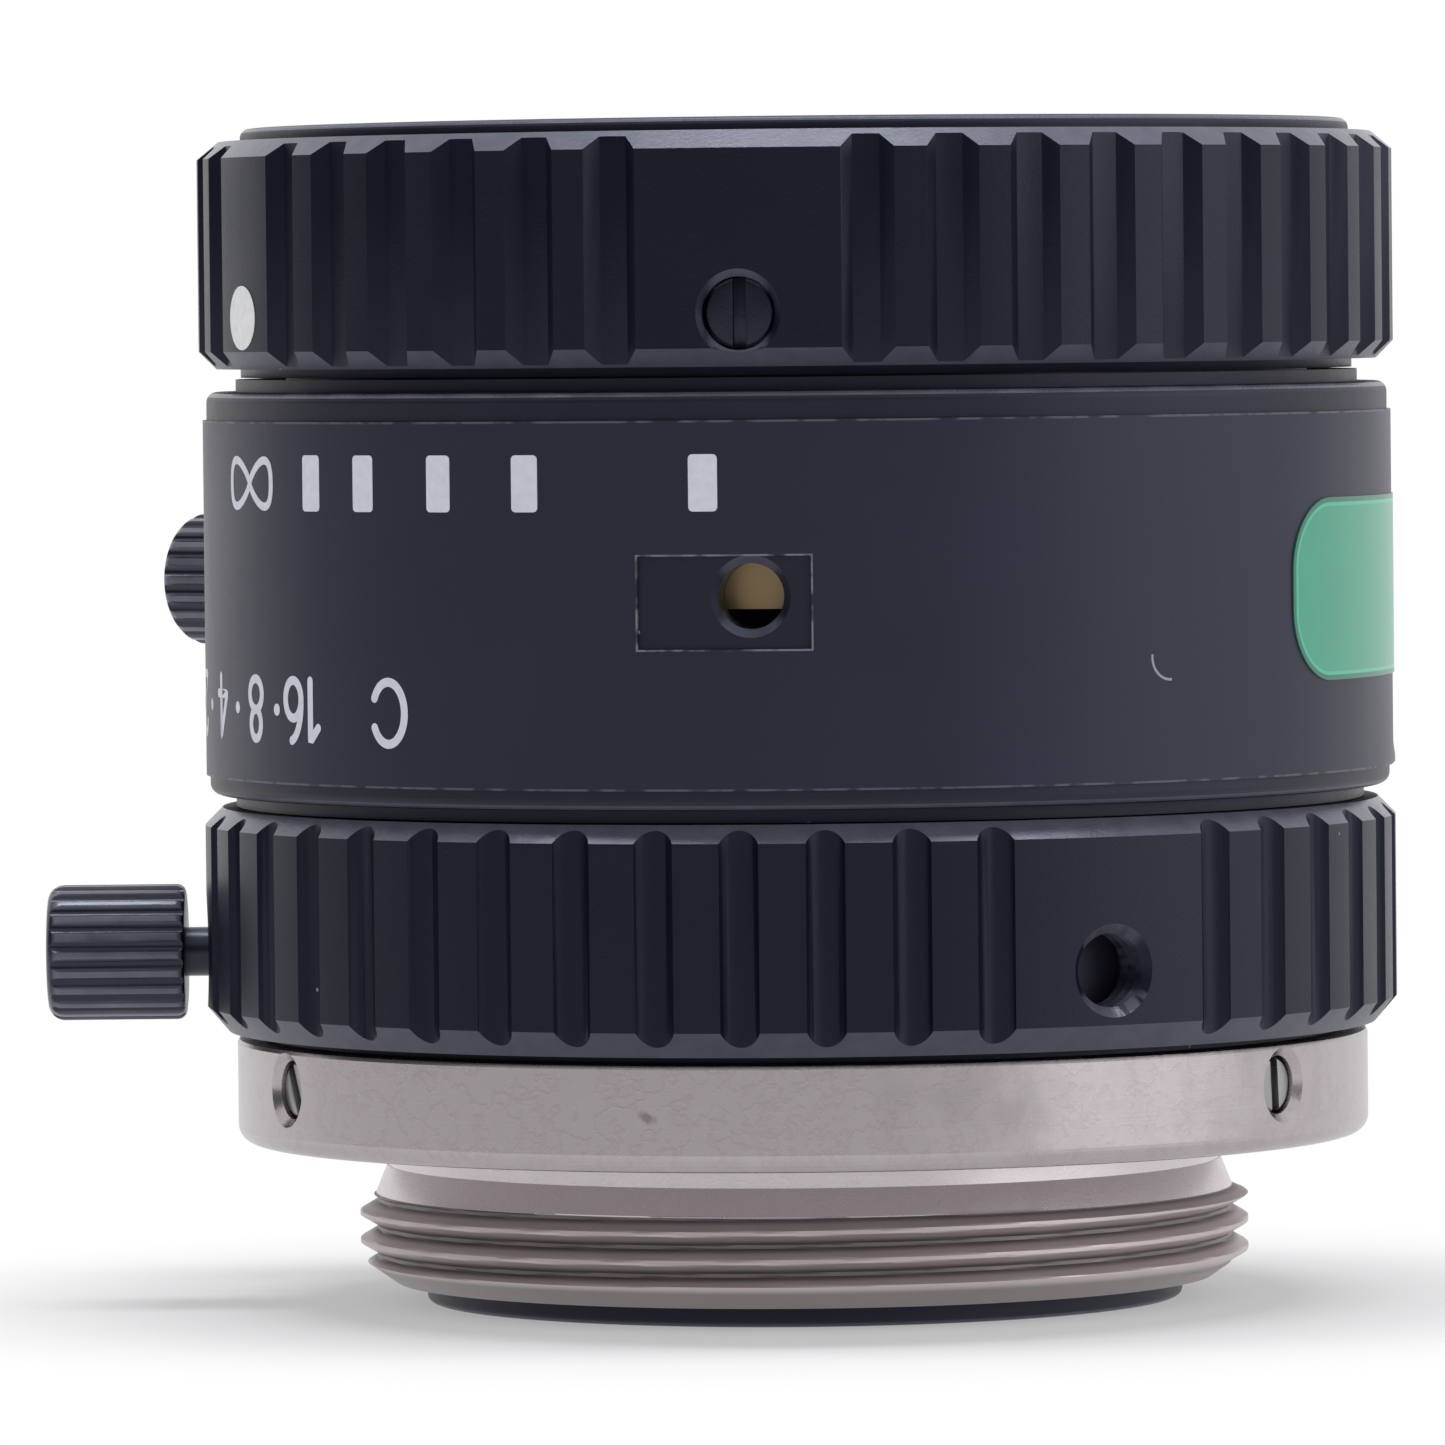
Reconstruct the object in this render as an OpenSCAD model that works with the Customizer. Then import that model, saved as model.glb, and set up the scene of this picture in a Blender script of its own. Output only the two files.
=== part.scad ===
// Fixed focal length C-mount lens, standing on its mount with the front up.
// Millimetres. The origin is the centre of the flange seat, +Z points to the
// front, and azimuths count from the side that faces the viewer (-Y).

/* [Mount] */
// Major diameter of the mount thread
thread_d = 25.4; // [25:0.1:26]
// Reach of the mount thread below the flange seat
thread_len = 4.05; // [3.6:0.05:4.5]
// End chamfer of the mount thread, along the axis
thread_chamfer_len = 0.7; // [0.4:0.1:1]
// End chamfer of the mount thread, across the axis
thread_chamfer = 1.0; // [0.5:0.1:1.2]
// Height of the relief between thread and flange
relief_len = 0.7; // [0.4:0.1:1]
// Depth of that relief below the thread's crests
relief_depth = 0.8; // [0.5:0.1:1]
// Diameter of the mount flange
flange_d = 32.3; // [31.5:0.1:33.5]
// Height of the mount flange
flange_h = 3.0; // [2.8:0.1:3.4]
// Thickness of the mount's floor under the barrel
mount_floor = 0.65; // [0.5:0.05:0.9]
// Bore through the mount for the rear cell
mount_bore_d = 21.2; // [20.4:0.1:22]

/* [Iris ring] */
// Gap between flange and iris ring
iris_gap = 0.2; // [0.1:0.05:0.4]
// Diameter over the lands of the iris ring
iris_ring_d = 34.0; // [33.2:0.1:35]
// Height of the iris ring
iris_ring_h = 6.37; // [6:0.05:7]
// Depth of the iris ring's flutes
flute_depth = 0.35; // [0.2:0.05:0.4]
// Radius of the cutter that makes the flutes
flute_r = 0.6; // [0.4:0.05:0.8]
// Turn of the iris ring from open to closed, degrees
iris_sweep = 47.4; // [44:0.2:48]

/* [Barrel] */
// Diameter of the barrel under the scale band
barrel_d = 33.68; // [33:0.1:34.4]
// Diameter of the barrel under the iris ring
journal_d = 30.8; // [30:0.1:31.4]
// Diameter of the neck above the iris ring
neck_d = 32.2; // [31.6:0.1:33]
// Height of the neck
neck_h = 0.35; // [0.2:0.05:0.6]
// Height of the collar below the scale band
lower_collar_h = 0.55; // [0.4:0.05:0.8]
// Height of the scale band
band_h = 10.1; // [9.6:0.1:11]
// Thickness of the scale band's film
band_t = 0.11; // [0.08:0.01:0.16]
// Height of the collar above the scale band
upper_collar_h = 0.8; // [0.6:0.05:1.2]
// Rounding of the collars' edges
collar_round = 0.3; // [0.1:0.05:0.35]
// Height of the step under the focus ring
step_h = 0.35; // [0.2:0.05:0.6]
// Diameter of that step
step_d = 32.0; // [31.8:0.1:32.6]

/* [Focus ring] */
// Diameter over the lands of the focus ring
focus_ring_d = 34.08; // [33.6:0.1:35]
// Height of the focus ring's grip
focus_ring_h = 6.45; // [6:0.05:7.2]
// Gap between barrel and focus ring
focus_gap = 0.05; // [0.03:0.01:0.1]
// Height of the lip below the grip
focus_lip_h = 0.25; // [0.15:0.05:0.4]
// Width of a groove at the ring's surface
groove_w = 1.5; // [1:0.05:1.7]
// Width of a groove at its floor
groove_floor_w = 0.75; // [0.4:0.05:0.9]
// Depth of a groove
groove_depth = 0.42; // [0.2:0.02:0.5]
// Height of the web that grips the helicoid
focus_web_h = 3.4; // [3:0.1:4]
// Rise of the optical cell from far to near focus
focus_travel = 1.2; // [0.6:0.1:1.4]

/* [Grip] */
// Divisions round each grip ring
grip_divisions = 45; // [36:1:48]
// Chamfer of the grip rings' edges
grip_chamfer = 0.5; // [0.3:0.05:0.55]

/* [Front] */
// Diameter of the front barrel's rim
rim_d = 31.6; // [31.2:0.05:31.7]
// Height of the rim above the focus ring
rim_stand = 0.37; // [0.2:0.01:0.8]
// Major diameter of the filter thread
filter_thread_d = 30.5; // [30:0.1:30.6]
// Depth of the filter thread's form
filter_thread_form = 0.27; // [0.2:0.01:0.3]
// Thickness of the front barrel's floor
front_floor_h = 0.8; // [0.6:0.05:1.2]
// Height of the name ring above that floor
name_ring_h = 0.6; // [0.4:0.05:0.9]

/* [Helicoid and cell] */
// Outer diameter of the optical cell
cell_d = 26.3; // [26:0.1:26.6]
// Wall of the brass helicoid sleeve
sleeve_wall = 1.37; // [1.2:0.05:1.6]
// Height of the sleeve's seat above the scale band's foot
sleeve_rise = 4.9; // [4.2:0.1:5.4]
// Width of the sleeve's thrust flange
thrust_w = 0.6; // [0.4:0.05:0.7]
// Height of the sleeve's thrust flange
thrust_h = 0.6; // [0.4:0.05:0.9]
// Height of the ring that keeps the sleeve down
keeper_h = 1.0; // [0.8:0.05:1.4]
// Bore of the cell below the iris web
cell_bore_d = 24.0; // [23.6:0.1:24.6]
// Thickness of the web that carries the iris
web_h = 0.8; // [0.6:0.05:1.2]

/* [Iris] */
// Number of iris blades
blade_count = 6; // [6]
// Thickness of a blade
blade_t = 0.1; // [0.06:0.01:0.12]
// Spacing of the blades along the axis
blade_pitch = 0.15; // [0.14:0.01:0.2]
// Aperture diameter with the iris open
aperture_d = 10.0; // [9.4:0.1:10.2]
// Width of a blade's arc
blade_w = 2.4; // [2:0.1:2.4]
// Pivot circle diameter of the blades
pivot_circle_d = 16.2; // [16.2:0.05:16.4]
// Distance from a blade's pivot to its drive pin
crank = 1.1; // [1:0.05:1.4]
// Turn of a blade from open to closed, degrees
blade_sweep = 45; // [40:1:46]
// Thickness of the plate that holds the pivots
pivot_plate_h = 0.6; // [0.5:0.05:0.9]
// Thickness of the cam ring's slotted plate
cam_plate_h = 0.6; // [0.4:0.05:0.8]

/* [Optics] */
// Diameter of the front group's glasses
front_glass_d = 20.8; // [20:0.1:21]
// Diameter of the rear group's glasses
rear_glass_d = 15.9; // [15.4:0.1:16]
// Edge thickness of glass 1, the front one
glass_1_edge = 3.5; // [3.2:0.1:3.8]
// Edge thickness of glass 2
glass_2_edge = 1.6; // [1.4:0.1:2]
// Edge thickness of glass 3
glass_3_edge = 2.6; // [2.4:0.1:3]
// Edge thickness of glass 4
glass_4_edge = 3.2; // [2.9:0.1:3.4]
// Edge thickness of glass 5
glass_5_edge = 2.0; // [1.8:0.1:2.2]
// Edge thickness of glass 6, the rear one
glass_6_edge = 1.8; // [1.6:0.1:2]
// Curve of glass 1's front face, as a radius
glass_1_front_r = 50; // [40:1:70]
// Curve of glass 1's hollow rear face
glass_1_rear_r = 14; // [13:0.5:18]
// Curve of glass 2's front face
glass_2_front_r = 24; // [22:1:40]
// Curve of glass 2's rear face
glass_2_rear_r = 32; // [24:1:50]
// Curve of glass 3's hollow front face
glass_3_front_r = 28; // [24:1:50]
// Curve of glass 3's hollow rear face
glass_3_rear_r = 40; // [24:1:60]
// Curve of glass 4's hollow front face
glass_4_front_r = 30; // [20:1:50]
// Curve of glass 4's hollow rear face
glass_4_rear_r = 24; // [18:1:40]
// Curve of glass 5's front face
glass_5_front_r = 24; // [20:1:50]
// Curve of glass 5's rear face
glass_5_rear_r = 20; // [18:1:40]
// Curve of glass 6's front face
glass_6_front_r = 60; // [30:1:80]
// Curve of glass 6's rear face
glass_6_rear_r = 26; // [20:1:50]
// Spacer between glasses 1 and 2
front_spacer_h = 2.9; // [2.7:0.1:3.1]
// Spacer between glasses 2 and 3
inner_spacer_h = 2.4; // [2.2:0.1:2.6]
// Spacer between glasses 5 and 6
rear_spacer_h = 2.6; // [2.3:0.1:2.8]
// Wall of the rear cell's tube
rear_wall = 1.2; // [0.8:0.1:1.3]
// Height of the ring that holds the rear glasses
rear_retainer_h = 1.2; // [0.9:0.1:1.4]
// Reach of the baffle below the mount thread
baffle_stand = 0.6; // [0.4:0.05:0.8]

/* [Screws] */
// Diameter of the tapped holes in the grip rings
tapped_d = 2.0; // [1.8:0.1:2.4]
// Diameter of a lock screw's grip
thumb_d = 3.87; // [3.4:0.1:4.4]
// Length of a lock screw's grip
thumb_len = 3.98; // [3:0.1:5]
// Flutes round a lock screw's grip
thumb_flutes = 20; // [12:2:24]
// Diameter of a lock screw's neck
thumb_neck_d = 1.4; // [1.2:0.1:1.6]
// Distance from the scale band to a lock screw's grip
thumb_stand = 0.65; // [0.5:0.05:1.2]
// Diameter of the iris ring's drive pin
drive_pin_d = 1.4; // [1.2:0.1:1.5]
// Height of the iris ring's holes above its foot
iris_hole_rise = 2.2; // [2:0.1:2.6]

/* [Hidden] */
$fn = 96;

// Clearances
run_gap = 0.05;      // radial, between pieces that slide or turn
seat_gap = 0.02;     // radial, between pieces that are screwed or glued together
end_gap = 0.03;      // axial, on each side of a captive ring
bearing_gap = 0.08;  // radial, round the brass sleeve
tip_gap = 0.1;       // between a loosened lock screw and what it presses on
cut = 1;             // how far a cutter runs past a face

// Heights of the outer pieces, from the flange seat upwards
thread_z = -thread_len;
baffle_z = thread_z - baffle_stand;
iris_z = flange_h + iris_gap;
iris_top = iris_z + iris_ring_h;
neck_z = iris_top + end_gap;
collar_z = neck_z + neck_h;
band_z = collar_z + lower_collar_h;
band_top = band_z + band_h;
step_z = band_top + upper_collar_h;
barrel_top = step_z + step_h;
lip_z = barrel_top + focus_gap;
focus_z = lip_z + focus_lip_h;
focus_top = focus_z + focus_ring_h;
web_top = lip_z + focus_web_h;
rim_top = focus_top + rim_stand;

// Radii, from the optical cell outwards
cell_r = cell_d / 2;
guide_r = cell_r + run_gap;
sleeve_r = guide_r + sleeve_wall;
bearing_r = sleeve_r + bearing_gap;
thrust_r = sleeve_r + thrust_w;
keeper_r = thrust_r + 0.3;
spigot_r = journal_d / 2 - 1;
iris_bore_r = journal_d / 2 + run_gap;
lip_r = step_d / 2 - 0.15;
filter_r = filter_thread_d / 2 - filter_thread_form;
focus_bore_r = rim_d / 2 + 2 * run_gap;

// The mount's set screws and the rear baffle
mount_screw_az = [-63.9, 56.1, 176.1];
mount_screw_r = 0.8;
mount_screw_z = flange_h - 1.15;
screw_sink = 0.35;                         // how far a countersink widens a screw hole
screw_recess = 0.3;                        // how deep a set screw's head lies
baffle_lap = 0.6;                          // the baffle's seat round the mount's bore
baffle_r = mount_bore_d / 2 + baffle_lap;
baffle_seat_z = thread_z + 1.6;
baffle_ledge = 1.2;                        // the baffle's stop, inside its bore

// The grip rings
grip_pitch = 360 / grip_divisions;
spot_face_depth = 0.25;                    // round the iris lock screw
spot_face_r = iris_ring_d / 2 - spot_face_depth;
iris_hole_az = [30.26, -89.74, 150.26];   // open hole, lock screw, drive pin
iris_hole_z = iris_z + iris_hole_rise;
focus_screw_az = [-5.27, 114.73, -125.27];
focus_screw_z = focus_z + 1.45;
focus_dot_az = focus_screw_az[0] - 60;
wide_land = 1.01;                          // half width of a wide land, in pitches

// The helicoid sleeve and its lock
sleeve_z = band_z + sleeve_rise;
sleeve_top = web_top;
keeper_top = barrel_top - end_gap;
keeper_z = keeper_top - keeper_h;
thrust_top = keeper_z - end_gap;
thrust_z = thrust_top - thrust_h;
lock_z = sleeve_z + 0.4;
lock_az = [-124.4, -4.4];                  // lock screw, open hole
lock_hole_r = 0.9;
lock_sink_r = 1.15;
shoulder_z = lock_z - lock_hole_r - 0.2;   // the barrel's bore widens here for the sleeve
window_az = [-10.6, 5.6];                  // the film's window, about a lock hole
window_z = [lock_z - 1.44, lock_z + 1.1];
band_r = barrel_d / 2 + band_t;
band_seam_az = 91;
label_half_w = 37;
label_h = 5.1;
label_t = 0.05;
label_corner = 2;

// The drive pin's path, and the cell and cam ring that it works through
drive_pin_r = drive_pin_d / 2;
drive_az = iris_hole_az[2];
slot_margin = 5;                           // by which the cell's slot outruns the pin's turn
key_az = drive_az + 180;
key_r = drive_pin_r;
pin_play = 0.15;
drive_z = [iris_hole_z - drive_pin_r - focus_travel - pin_play, iris_hole_z + drive_pin_r + pin_play];
cell_floor_h = 1;
cell_z = drive_z[0] - cell_floor_h - 0.45;
rear_flange_z = cell_z;
rear_flange_top = rear_flange_z + cell_floor_h;
cam_z = rear_flange_top + 0.2;
cam_top = drive_z[1] + 2.9;
blade_gap = 0.1;
blades_z = cam_top + blade_gap;
pivot_plate_z = blades_z + blade_pitch * blade_count;
web_z = pivot_plate_z + pivot_plate_h;
cell_bore_r = cell_bore_d / 2;
cam_r = cell_bore_r - run_gap;
cam_skirt_r = cam_r - 0.95;
drive_tip_r = cam_r - 0.75;

// The iris blades
aperture_r = aperture_d / 2;
web_clear_r = aperture_r + 3;
web_lap = 0.7;                             // from the web's bore to glass 3's curve
pivot_r = pivot_circle_d / 2;
pivot_pin_r = 0.3;
blade_pin_r = 0.35;
pin_clear = 0.05;
blade_span = 95;
blade_lug_r = 0.6;

// The front group, stacked upwards from the iris web
front_glass_r = front_glass_d / 2;
front_bore_r = front_glass_r + seat_gap;
front_clear_r = front_glass_r - 1.1;
glass_3_z = web_z + web_h;
inner_spacer_z = glass_3_z + glass_3_edge;
glass_2_z = inner_spacer_z + inner_spacer_h;
front_spacer_z = glass_2_z + glass_2_edge;
glass_1_z = front_spacer_z + front_spacer_h;
glass_1_top = glass_1_z + glass_1_edge;
front_floor_z = web_top + 0.2;
front_floor_top = front_floor_z + front_floor_h;
name_ring_top = front_floor_top + name_ring_h;
cell_spigot_r = cell_r - 0.9;

// The rear group, stacked downwards from the cam ring
rear_glass_r = rear_glass_d / 2;
rear_bore_r = rear_glass_r + seat_gap;
rear_tube_r = rear_bore_r + rear_wall;
rear_lip = 0.9;                            // the stop above the rear glasses
rear_clear_r = rear_glass_r - rear_lip;
baffle_bore_r = rear_tube_r + 0.4;
rear_tube_top = cam_top - cam_plate_h - run_gap;
rear_lip_h = 0.5;
glass_4_z = rear_tube_top - rear_lip_h - glass_4_edge;
glass_5_z = glass_4_z - glass_5_edge;
rear_spacer_z = glass_5_z - rear_spacer_h;
glass_6_z = rear_spacer_z - glass_6_edge;
rear_retainer_z = glass_6_z - rear_retainer_h;
rear_tube_z = rear_retainer_z - 0.4;

// Children drawn along +X are turned to an azimuth
module around(azimuth) rotate([0, 0, azimuth - 90]) children();

// A tube about the optical axis
module tube(r_out, r_in, z_low, z_high) {
    translate([0, 0, z_low]) difference() {
        cylinder(r = r_out, h = z_high - z_low);
        translate([0, 0, -cut]) cylinder(r = r_in, h = z_high - z_low + 2 * cut);
    }
}

// A round cutter about the optical axis
module bore(r, z_low, z_high) {
    translate([0, 0, z_low]) cylinder(r = r, h = z_high - z_low);
}

// A rod along +X at height z
module rod(r, x_low, x_high, z) {
    translate([x_low, 0, z]) rotate([0, 90, 0]) cylinder(r = r, h = x_high - x_low);
}

// A cone along +X at height z
module taper(r_low, r_high, x_low, x_high, z) {
    translate([x_low, 0, z]) rotate([0, 90, 0]) cylinder(r1 = r_low, r2 = r_high, h = x_high - x_low);
}

// A countersink for a hole along +X at height z, on a face at x. It widens the
// hole by sink over its last quarter millimetre.
module countersink(r, sink, x, z) taper(r, r + sink, x - 0.25, x + 0.1, z);

// A part of a tube, from one azimuth to another
module sector(r_out, r_in, z_low, z_high, az_low, az_high) {
    rotate([0, 0, az_low - 90]) rotate_extrude(angle = az_high - az_low)
        translate([r_in, z_low]) square([r_out - r_in, z_high - z_low]);
}

// Points of a quarter round between two directions
function arc(centre, r, a_low, a_high, steps = 6) = [
    for (i = [0 : steps])
        let (a = a_low + (a_high - a_low) * i / steps)
        centre + r * [cos(a), sin(a)]
];

// Rear: mount, flange and baffle

module mount_ring() {
    spigot_bore_r = spigot_r + seat_gap;
    edge = 0.5;
    color([0.66, 0.64, 0.64]) difference() {
        rotate_extrude() polygon(concat(
            [
                [mount_bore_d / 2, thread_z],
                [thread_d / 2 - thread_chamfer, thread_z],
                [thread_d / 2, thread_z + thread_chamfer_len],
                [thread_d / 2, -relief_len],
                [thread_d / 2 - relief_depth, -relief_len],
                [thread_d / 2 - relief_depth, 0]
            ],
            arc([flange_d / 2 - edge, edge], edge, -90, 0),
            [
                [flange_d / 2, flange_h - 0.15],
                [flange_d / 2 - 0.15, flange_h],
                [spigot_bore_r, flange_h],
                [spigot_bore_r, mount_floor],
                [mount_bore_d / 2, mount_floor]
            ]
        ));
        bore(baffle_r + seat_gap, thread_z - cut, baffle_seat_z);
        for (azimuth = mount_screw_az) around(azimuth) {
            rod(mount_screw_r + seat_gap, spigot_r - cut, flange_d, mount_screw_z);
            countersink(mount_screw_r, screw_sink, flange_d / 2, mount_screw_z);
        }
    }
}

module mount_set_screws() {
    color([0.55, 0.55, 0.56]) for (azimuth = mount_screw_az)
        around(azimuth)
            grub_screw(mount_screw_r, spigot_r + seat_gap, flange_d / 2 - screw_recess, mount_screw_z);
}

// A headless screw along +X, with its driver slot at the outer end
module grub_screw(r, x_tip, x_head, z) {
    slot_w = 0.32;
    slot_depth = 0.35;
    difference() {
        rod(r, x_tip, x_head, z);
        translate([x_head - slot_depth, -slot_w / 2, z - 2 * r]) cube([slot_depth + cut, slot_w, 4 * r]);
    }
}

module rear_baffle() {
    rim_r = baffle_r - 0.4;
    edge = 0.2;
    color([0.05, 0.05, 0.06]) rotate_extrude() polygon(concat(
        [[baffle_bore_r - baffle_ledge, baffle_z], [rim_r - edge, baffle_z]],
        arc([rim_r - edge, baffle_z + edge], edge, -90, 0),
        [
            [rim_r, thread_z],
            [baffle_r, thread_z],
            [baffle_r, baffle_seat_z],
            [baffle_bore_r, baffle_seat_z],
            [baffle_bore_r, thread_z],
            [baffle_bore_r - baffle_ledge, thread_z]
        ]
    ));
}

// Middle: barrel, scale band and the pieces fixed in them

module main_barrel() {
    color([0.09, 0.09, 0.11]) difference() {
        rotate_extrude() polygon(concat(
            [
                [guide_r, mount_floor],
                [spigot_r, mount_floor],
                [spigot_r, flange_h],
                [journal_d / 2, flange_h],
                [journal_d / 2, neck_z],
                [neck_d / 2, neck_z],
                [neck_d / 2, collar_z]
            ],
            arc([barrel_d / 2 - collar_round, collar_z + collar_round], collar_round, -90, 0),
            arc([barrel_d / 2 - collar_round, step_z - collar_round], collar_round, 0, 90),
            [
                [step_d / 2, step_z],
                [step_d / 2, barrel_top],
                [keeper_r + seat_gap, barrel_top],
                [keeper_r + seat_gap, keeper_z],
                [thrust_r + run_gap, keeper_z],
                [thrust_r + run_gap, thrust_z - end_gap],
                [bearing_r, thrust_z - end_gap],
                [bearing_r, shoulder_z],
                [guide_r, shoulder_z]
            ]
        ));
        drive_slot();
        around(key_az) rod(key_r + seat_gap, cell_r - cut, journal_d, iris_hole_z);
        for (azimuth = lock_az) around(azimuth) {
            rod(lock_hole_r, cell_r + run_gap, barrel_d, lock_z);
            countersink(lock_hole_r, lock_sink_r + 0.1 - lock_hole_r, barrel_d / 2, lock_z);
        }
    }
}

// The slot that the iris ring's drive pin runs along
module drive_slot() {
    slot_r = drive_pin_r + pin_play / 1.5;
    half_h = slot_r - 0.02;
    sector(journal_d / 2 + cut, guide_r - cut, iris_hole_z - half_h, iris_hole_z + half_h,
        drive_az, drive_az + iris_sweep);
    for (azimuth = [drive_az, drive_az + iris_sweep])
        around(azimuth) rod(slot_r, guide_r - cut, journal_d / 2 + cut, iris_hole_z);
}

module scale_band() {
    seam = 0.4;
    color([0.12, 0.12, 0.14]) difference() {
        sector(band_r, barrel_d / 2, band_z, band_top,
            band_seam_az + seam / 2, band_seam_az + 360 - seam / 2);
        for (azimuth = lock_az)
            sector(band_r + cut, barrel_d / 2 - cut, window_z[0], window_z[1],
                azimuth + window_az[0], azimuth + window_az[1]);
    }
}

// A label with rounded corners, wrapped over the band's seam
module side_label() {
    z_mid = lock_z - 0.15;
    corner_az = asin(label_corner / band_r);
    color([0.25, 0.62, 0.45]) difference() {
        sector(band_r + label_t, band_r, z_mid - label_h / 2, z_mid + label_h / 2,
            band_seam_az - label_half_w, band_seam_az + label_half_w);
        for (end = [-1, 1], level = [-1, 1])
            around(band_seam_az + end * (label_half_w - corner_az))
                translate([band_r - cut, 0, z_mid + level * (label_h / 2 - label_corner)])
                    corner_cutter(end, level);
    }
}

// What is cut from one corner of the label, round the corner's centre
module corner_cutter(end, level) {
    size = label_corner + cut;
    lead = label_corner + 0.01;
    outline = concat(
        [[lead, 0]], arc([0, 0], label_corner, 10, 80, 7), [[0, lead], [0, size], [size, size], [size, 0]]);
    rotate([90, 0, 90]) linear_extrude(2 * cut) polygon([for (p = outline) [end * p[0], level * p[1]]]);
}

module guide_key() {
    color([0.6, 0.6, 0.6]) around(key_az) rod(key_r, cell_bore_r + 0.3, journal_d / 2 - 0.3, iris_hole_z);
}

module sleeve_keeper() {
    color([0.1, 0.1, 0.11]) difference() {
        tube(keeper_r, bearing_r, keeper_z, keeper_top);
        for (azimuth = [0, 180]) around(azimuth)
            translate([bearing_r - cut, -0.5, keeper_top - 0.4]) cube([2 * cut, 1, cut]);
    }
}

// Iris ring and its screws

// Whether an azimuth lies on one of the wide lands
function on_wide_land(azimuth, centres) = len([
    for (centre = centres)
        let (away = abs((azimuth - centre + 540) % 360 - 180))
        if (away < wide_land * grip_pitch) centre
]) > 0;

// The chamfered body of a grip ring
module grip_blank(d, bore_r, z_low, z_high, low_drop, low_cut, high_drop, high_cut) {
    rotate_extrude() polygon([
        [bore_r, z_low],
        [d / 2 - low_cut, z_low],
        [d / 2, z_low + low_drop],
        [d / 2, z_high - high_drop],
        [d / 2 - high_cut, z_high],
        [bore_r, z_high]
    ]);
}

module iris_ring() {
    first = iris_hole_az[0] + grip_pitch / 2;
    color([0.08, 0.08, 0.1]) difference() {
        grip_blank(iris_ring_d, iris_bore_r, iris_z, iris_top,
            grip_chamfer + 0.2, grip_chamfer + 0.1, grip_chamfer, grip_chamfer);
        for (i = [0 : grip_divisions - 1])
            if (!on_wide_land(first + i * grip_pitch, iris_hole_az))
                around(first + i * grip_pitch)
                    translate([iris_ring_d / 2 - flute_depth + flute_r, 0, iris_z - cut])
                        cylinder(r = flute_r, h = iris_ring_h + 2 * cut);
        for (azimuth = iris_hole_az) around(azimuth) {
            rod(tapped_d / 2, iris_bore_r - cut, iris_ring_d, iris_hole_z);
            countersink(tapped_d / 2, screw_sink, iris_ring_d / 2, iris_hole_z);
        }
        around(iris_hole_az[1]) rod(2, spot_face_r, iris_ring_d, iris_hole_z);
    }
}

module iris_drive_pin() {
    head_r = tapped_d / 2 - seat_gap;
    color([0.5, 0.5, 0.5]) around(drive_az) {
        grub_screw(head_r, iris_bore_r + 0.1, iris_ring_d / 2 - 0.35, iris_hole_z);
        rod(drive_pin_r, drive_tip_r, iris_bore_r + 0.1, iris_hole_z);
    }
}

// A knurled lock screw along +X, from its tip to the domed end of its grip
module thumb_screw(x_tip, x_neck, r_shank, z) {
    grip_x = band_r + thumb_stand;
    grip_end = grip_x + thumb_len;
    bevel = 0.28;
    knurl_r = 0.2;
    rod(r_shank, x_tip, x_neck, z);
    rod(thumb_neck_d / 2, x_neck, grip_x + bevel, z);
    difference() {
        union() {
            taper(thumb_d / 2 - bevel, thumb_d / 2, grip_x, grip_x + bevel, z);
            rod(thumb_d / 2, grip_x + bevel, grip_end - bevel, z);
            taper(thumb_d / 2, thumb_d / 2 - bevel, grip_end - bevel, grip_end, z);
        }
        for (i = [0 : thumb_flutes - 1])
            translate([grip_x - cut, 0, z]) rotate([i * 360 / thumb_flutes, 0, 0])
                translate([0, 0, thumb_d / 2 + knurl_r / 2]) rotate([0, 90, 0])
                    cylinder(r = knurl_r, h = thumb_len + 2 * cut, $fn = 24);
    }
}

module iris_lock_screw() {
    color([0.1, 0.1, 0.12]) around(iris_hole_az[1])
        thumb_screw(journal_d / 2 + tip_gap, spot_face_r - 0.3, tapped_d / 2 - end_gap, iris_hole_z);
}

module focus_lock_screw() {
    color([0.1, 0.1, 0.12]) around(lock_az[0])
        thumb_screw(sleeve_r + tip_gap, barrel_d / 2 - 0.4, lock_hole_r - end_gap, lock_z);
}

// Focus ring, its screws and the helicoid

module focus_ring() {
    first = focus_screw_az[0] + grip_pitch / 2;
    color([0.08, 0.08, 0.1]) difference() {
        union() {
            grip_blank(focus_ring_d, focus_bore_r, focus_z, focus_top,
                grip_chamfer, grip_chamfer, grip_chamfer, grip_chamfer + 0.1);
            tube(focus_bore_r + 0.3, sleeve_r + seat_gap, focus_z, web_top);
            tube(lip_r, sleeve_r + seat_gap, lip_z, focus_z);
        }
        for (i = [0 : grip_divisions - 1])
            let (azimuth = first + i * grip_pitch)
            if (!on_wide_land(azimuth, focus_screw_az) && !on_dot(azimuth)) around(azimuth) grip_groove();
        for (azimuth = focus_screw_az) around(azimuth)
            rod(tapped_d / 2, sleeve_r - cut, focus_ring_d, focus_screw_z);
    }
}

// Whether a groove would cut the land that carries the index dot
function on_dot(azimuth) = abs((azimuth - focus_dot_az + 540) % 360 - 180) < grip_pitch / 2 - 0.1;

// A flat-floored groove with bevelled walls, along the axis
module grip_groove() {
    floor_r = focus_ring_d / 2 - groove_depth;
    spread = (groove_w - groove_floor_w) / 2 / groove_depth;
    translate([0, 0, lip_z - cut]) linear_extrude(focus_top - lip_z + 2 * cut) polygon([
        [floor_r, -groove_floor_w / 2],
        [floor_r + 2 * groove_depth, -groove_floor_w / 2 - 2 * groove_depth * spread],
        [floor_r + 2 * groove_depth, groove_floor_w / 2 + 2 * groove_depth * spread],
        [floor_r, groove_floor_w / 2]
    ]);
}

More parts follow.
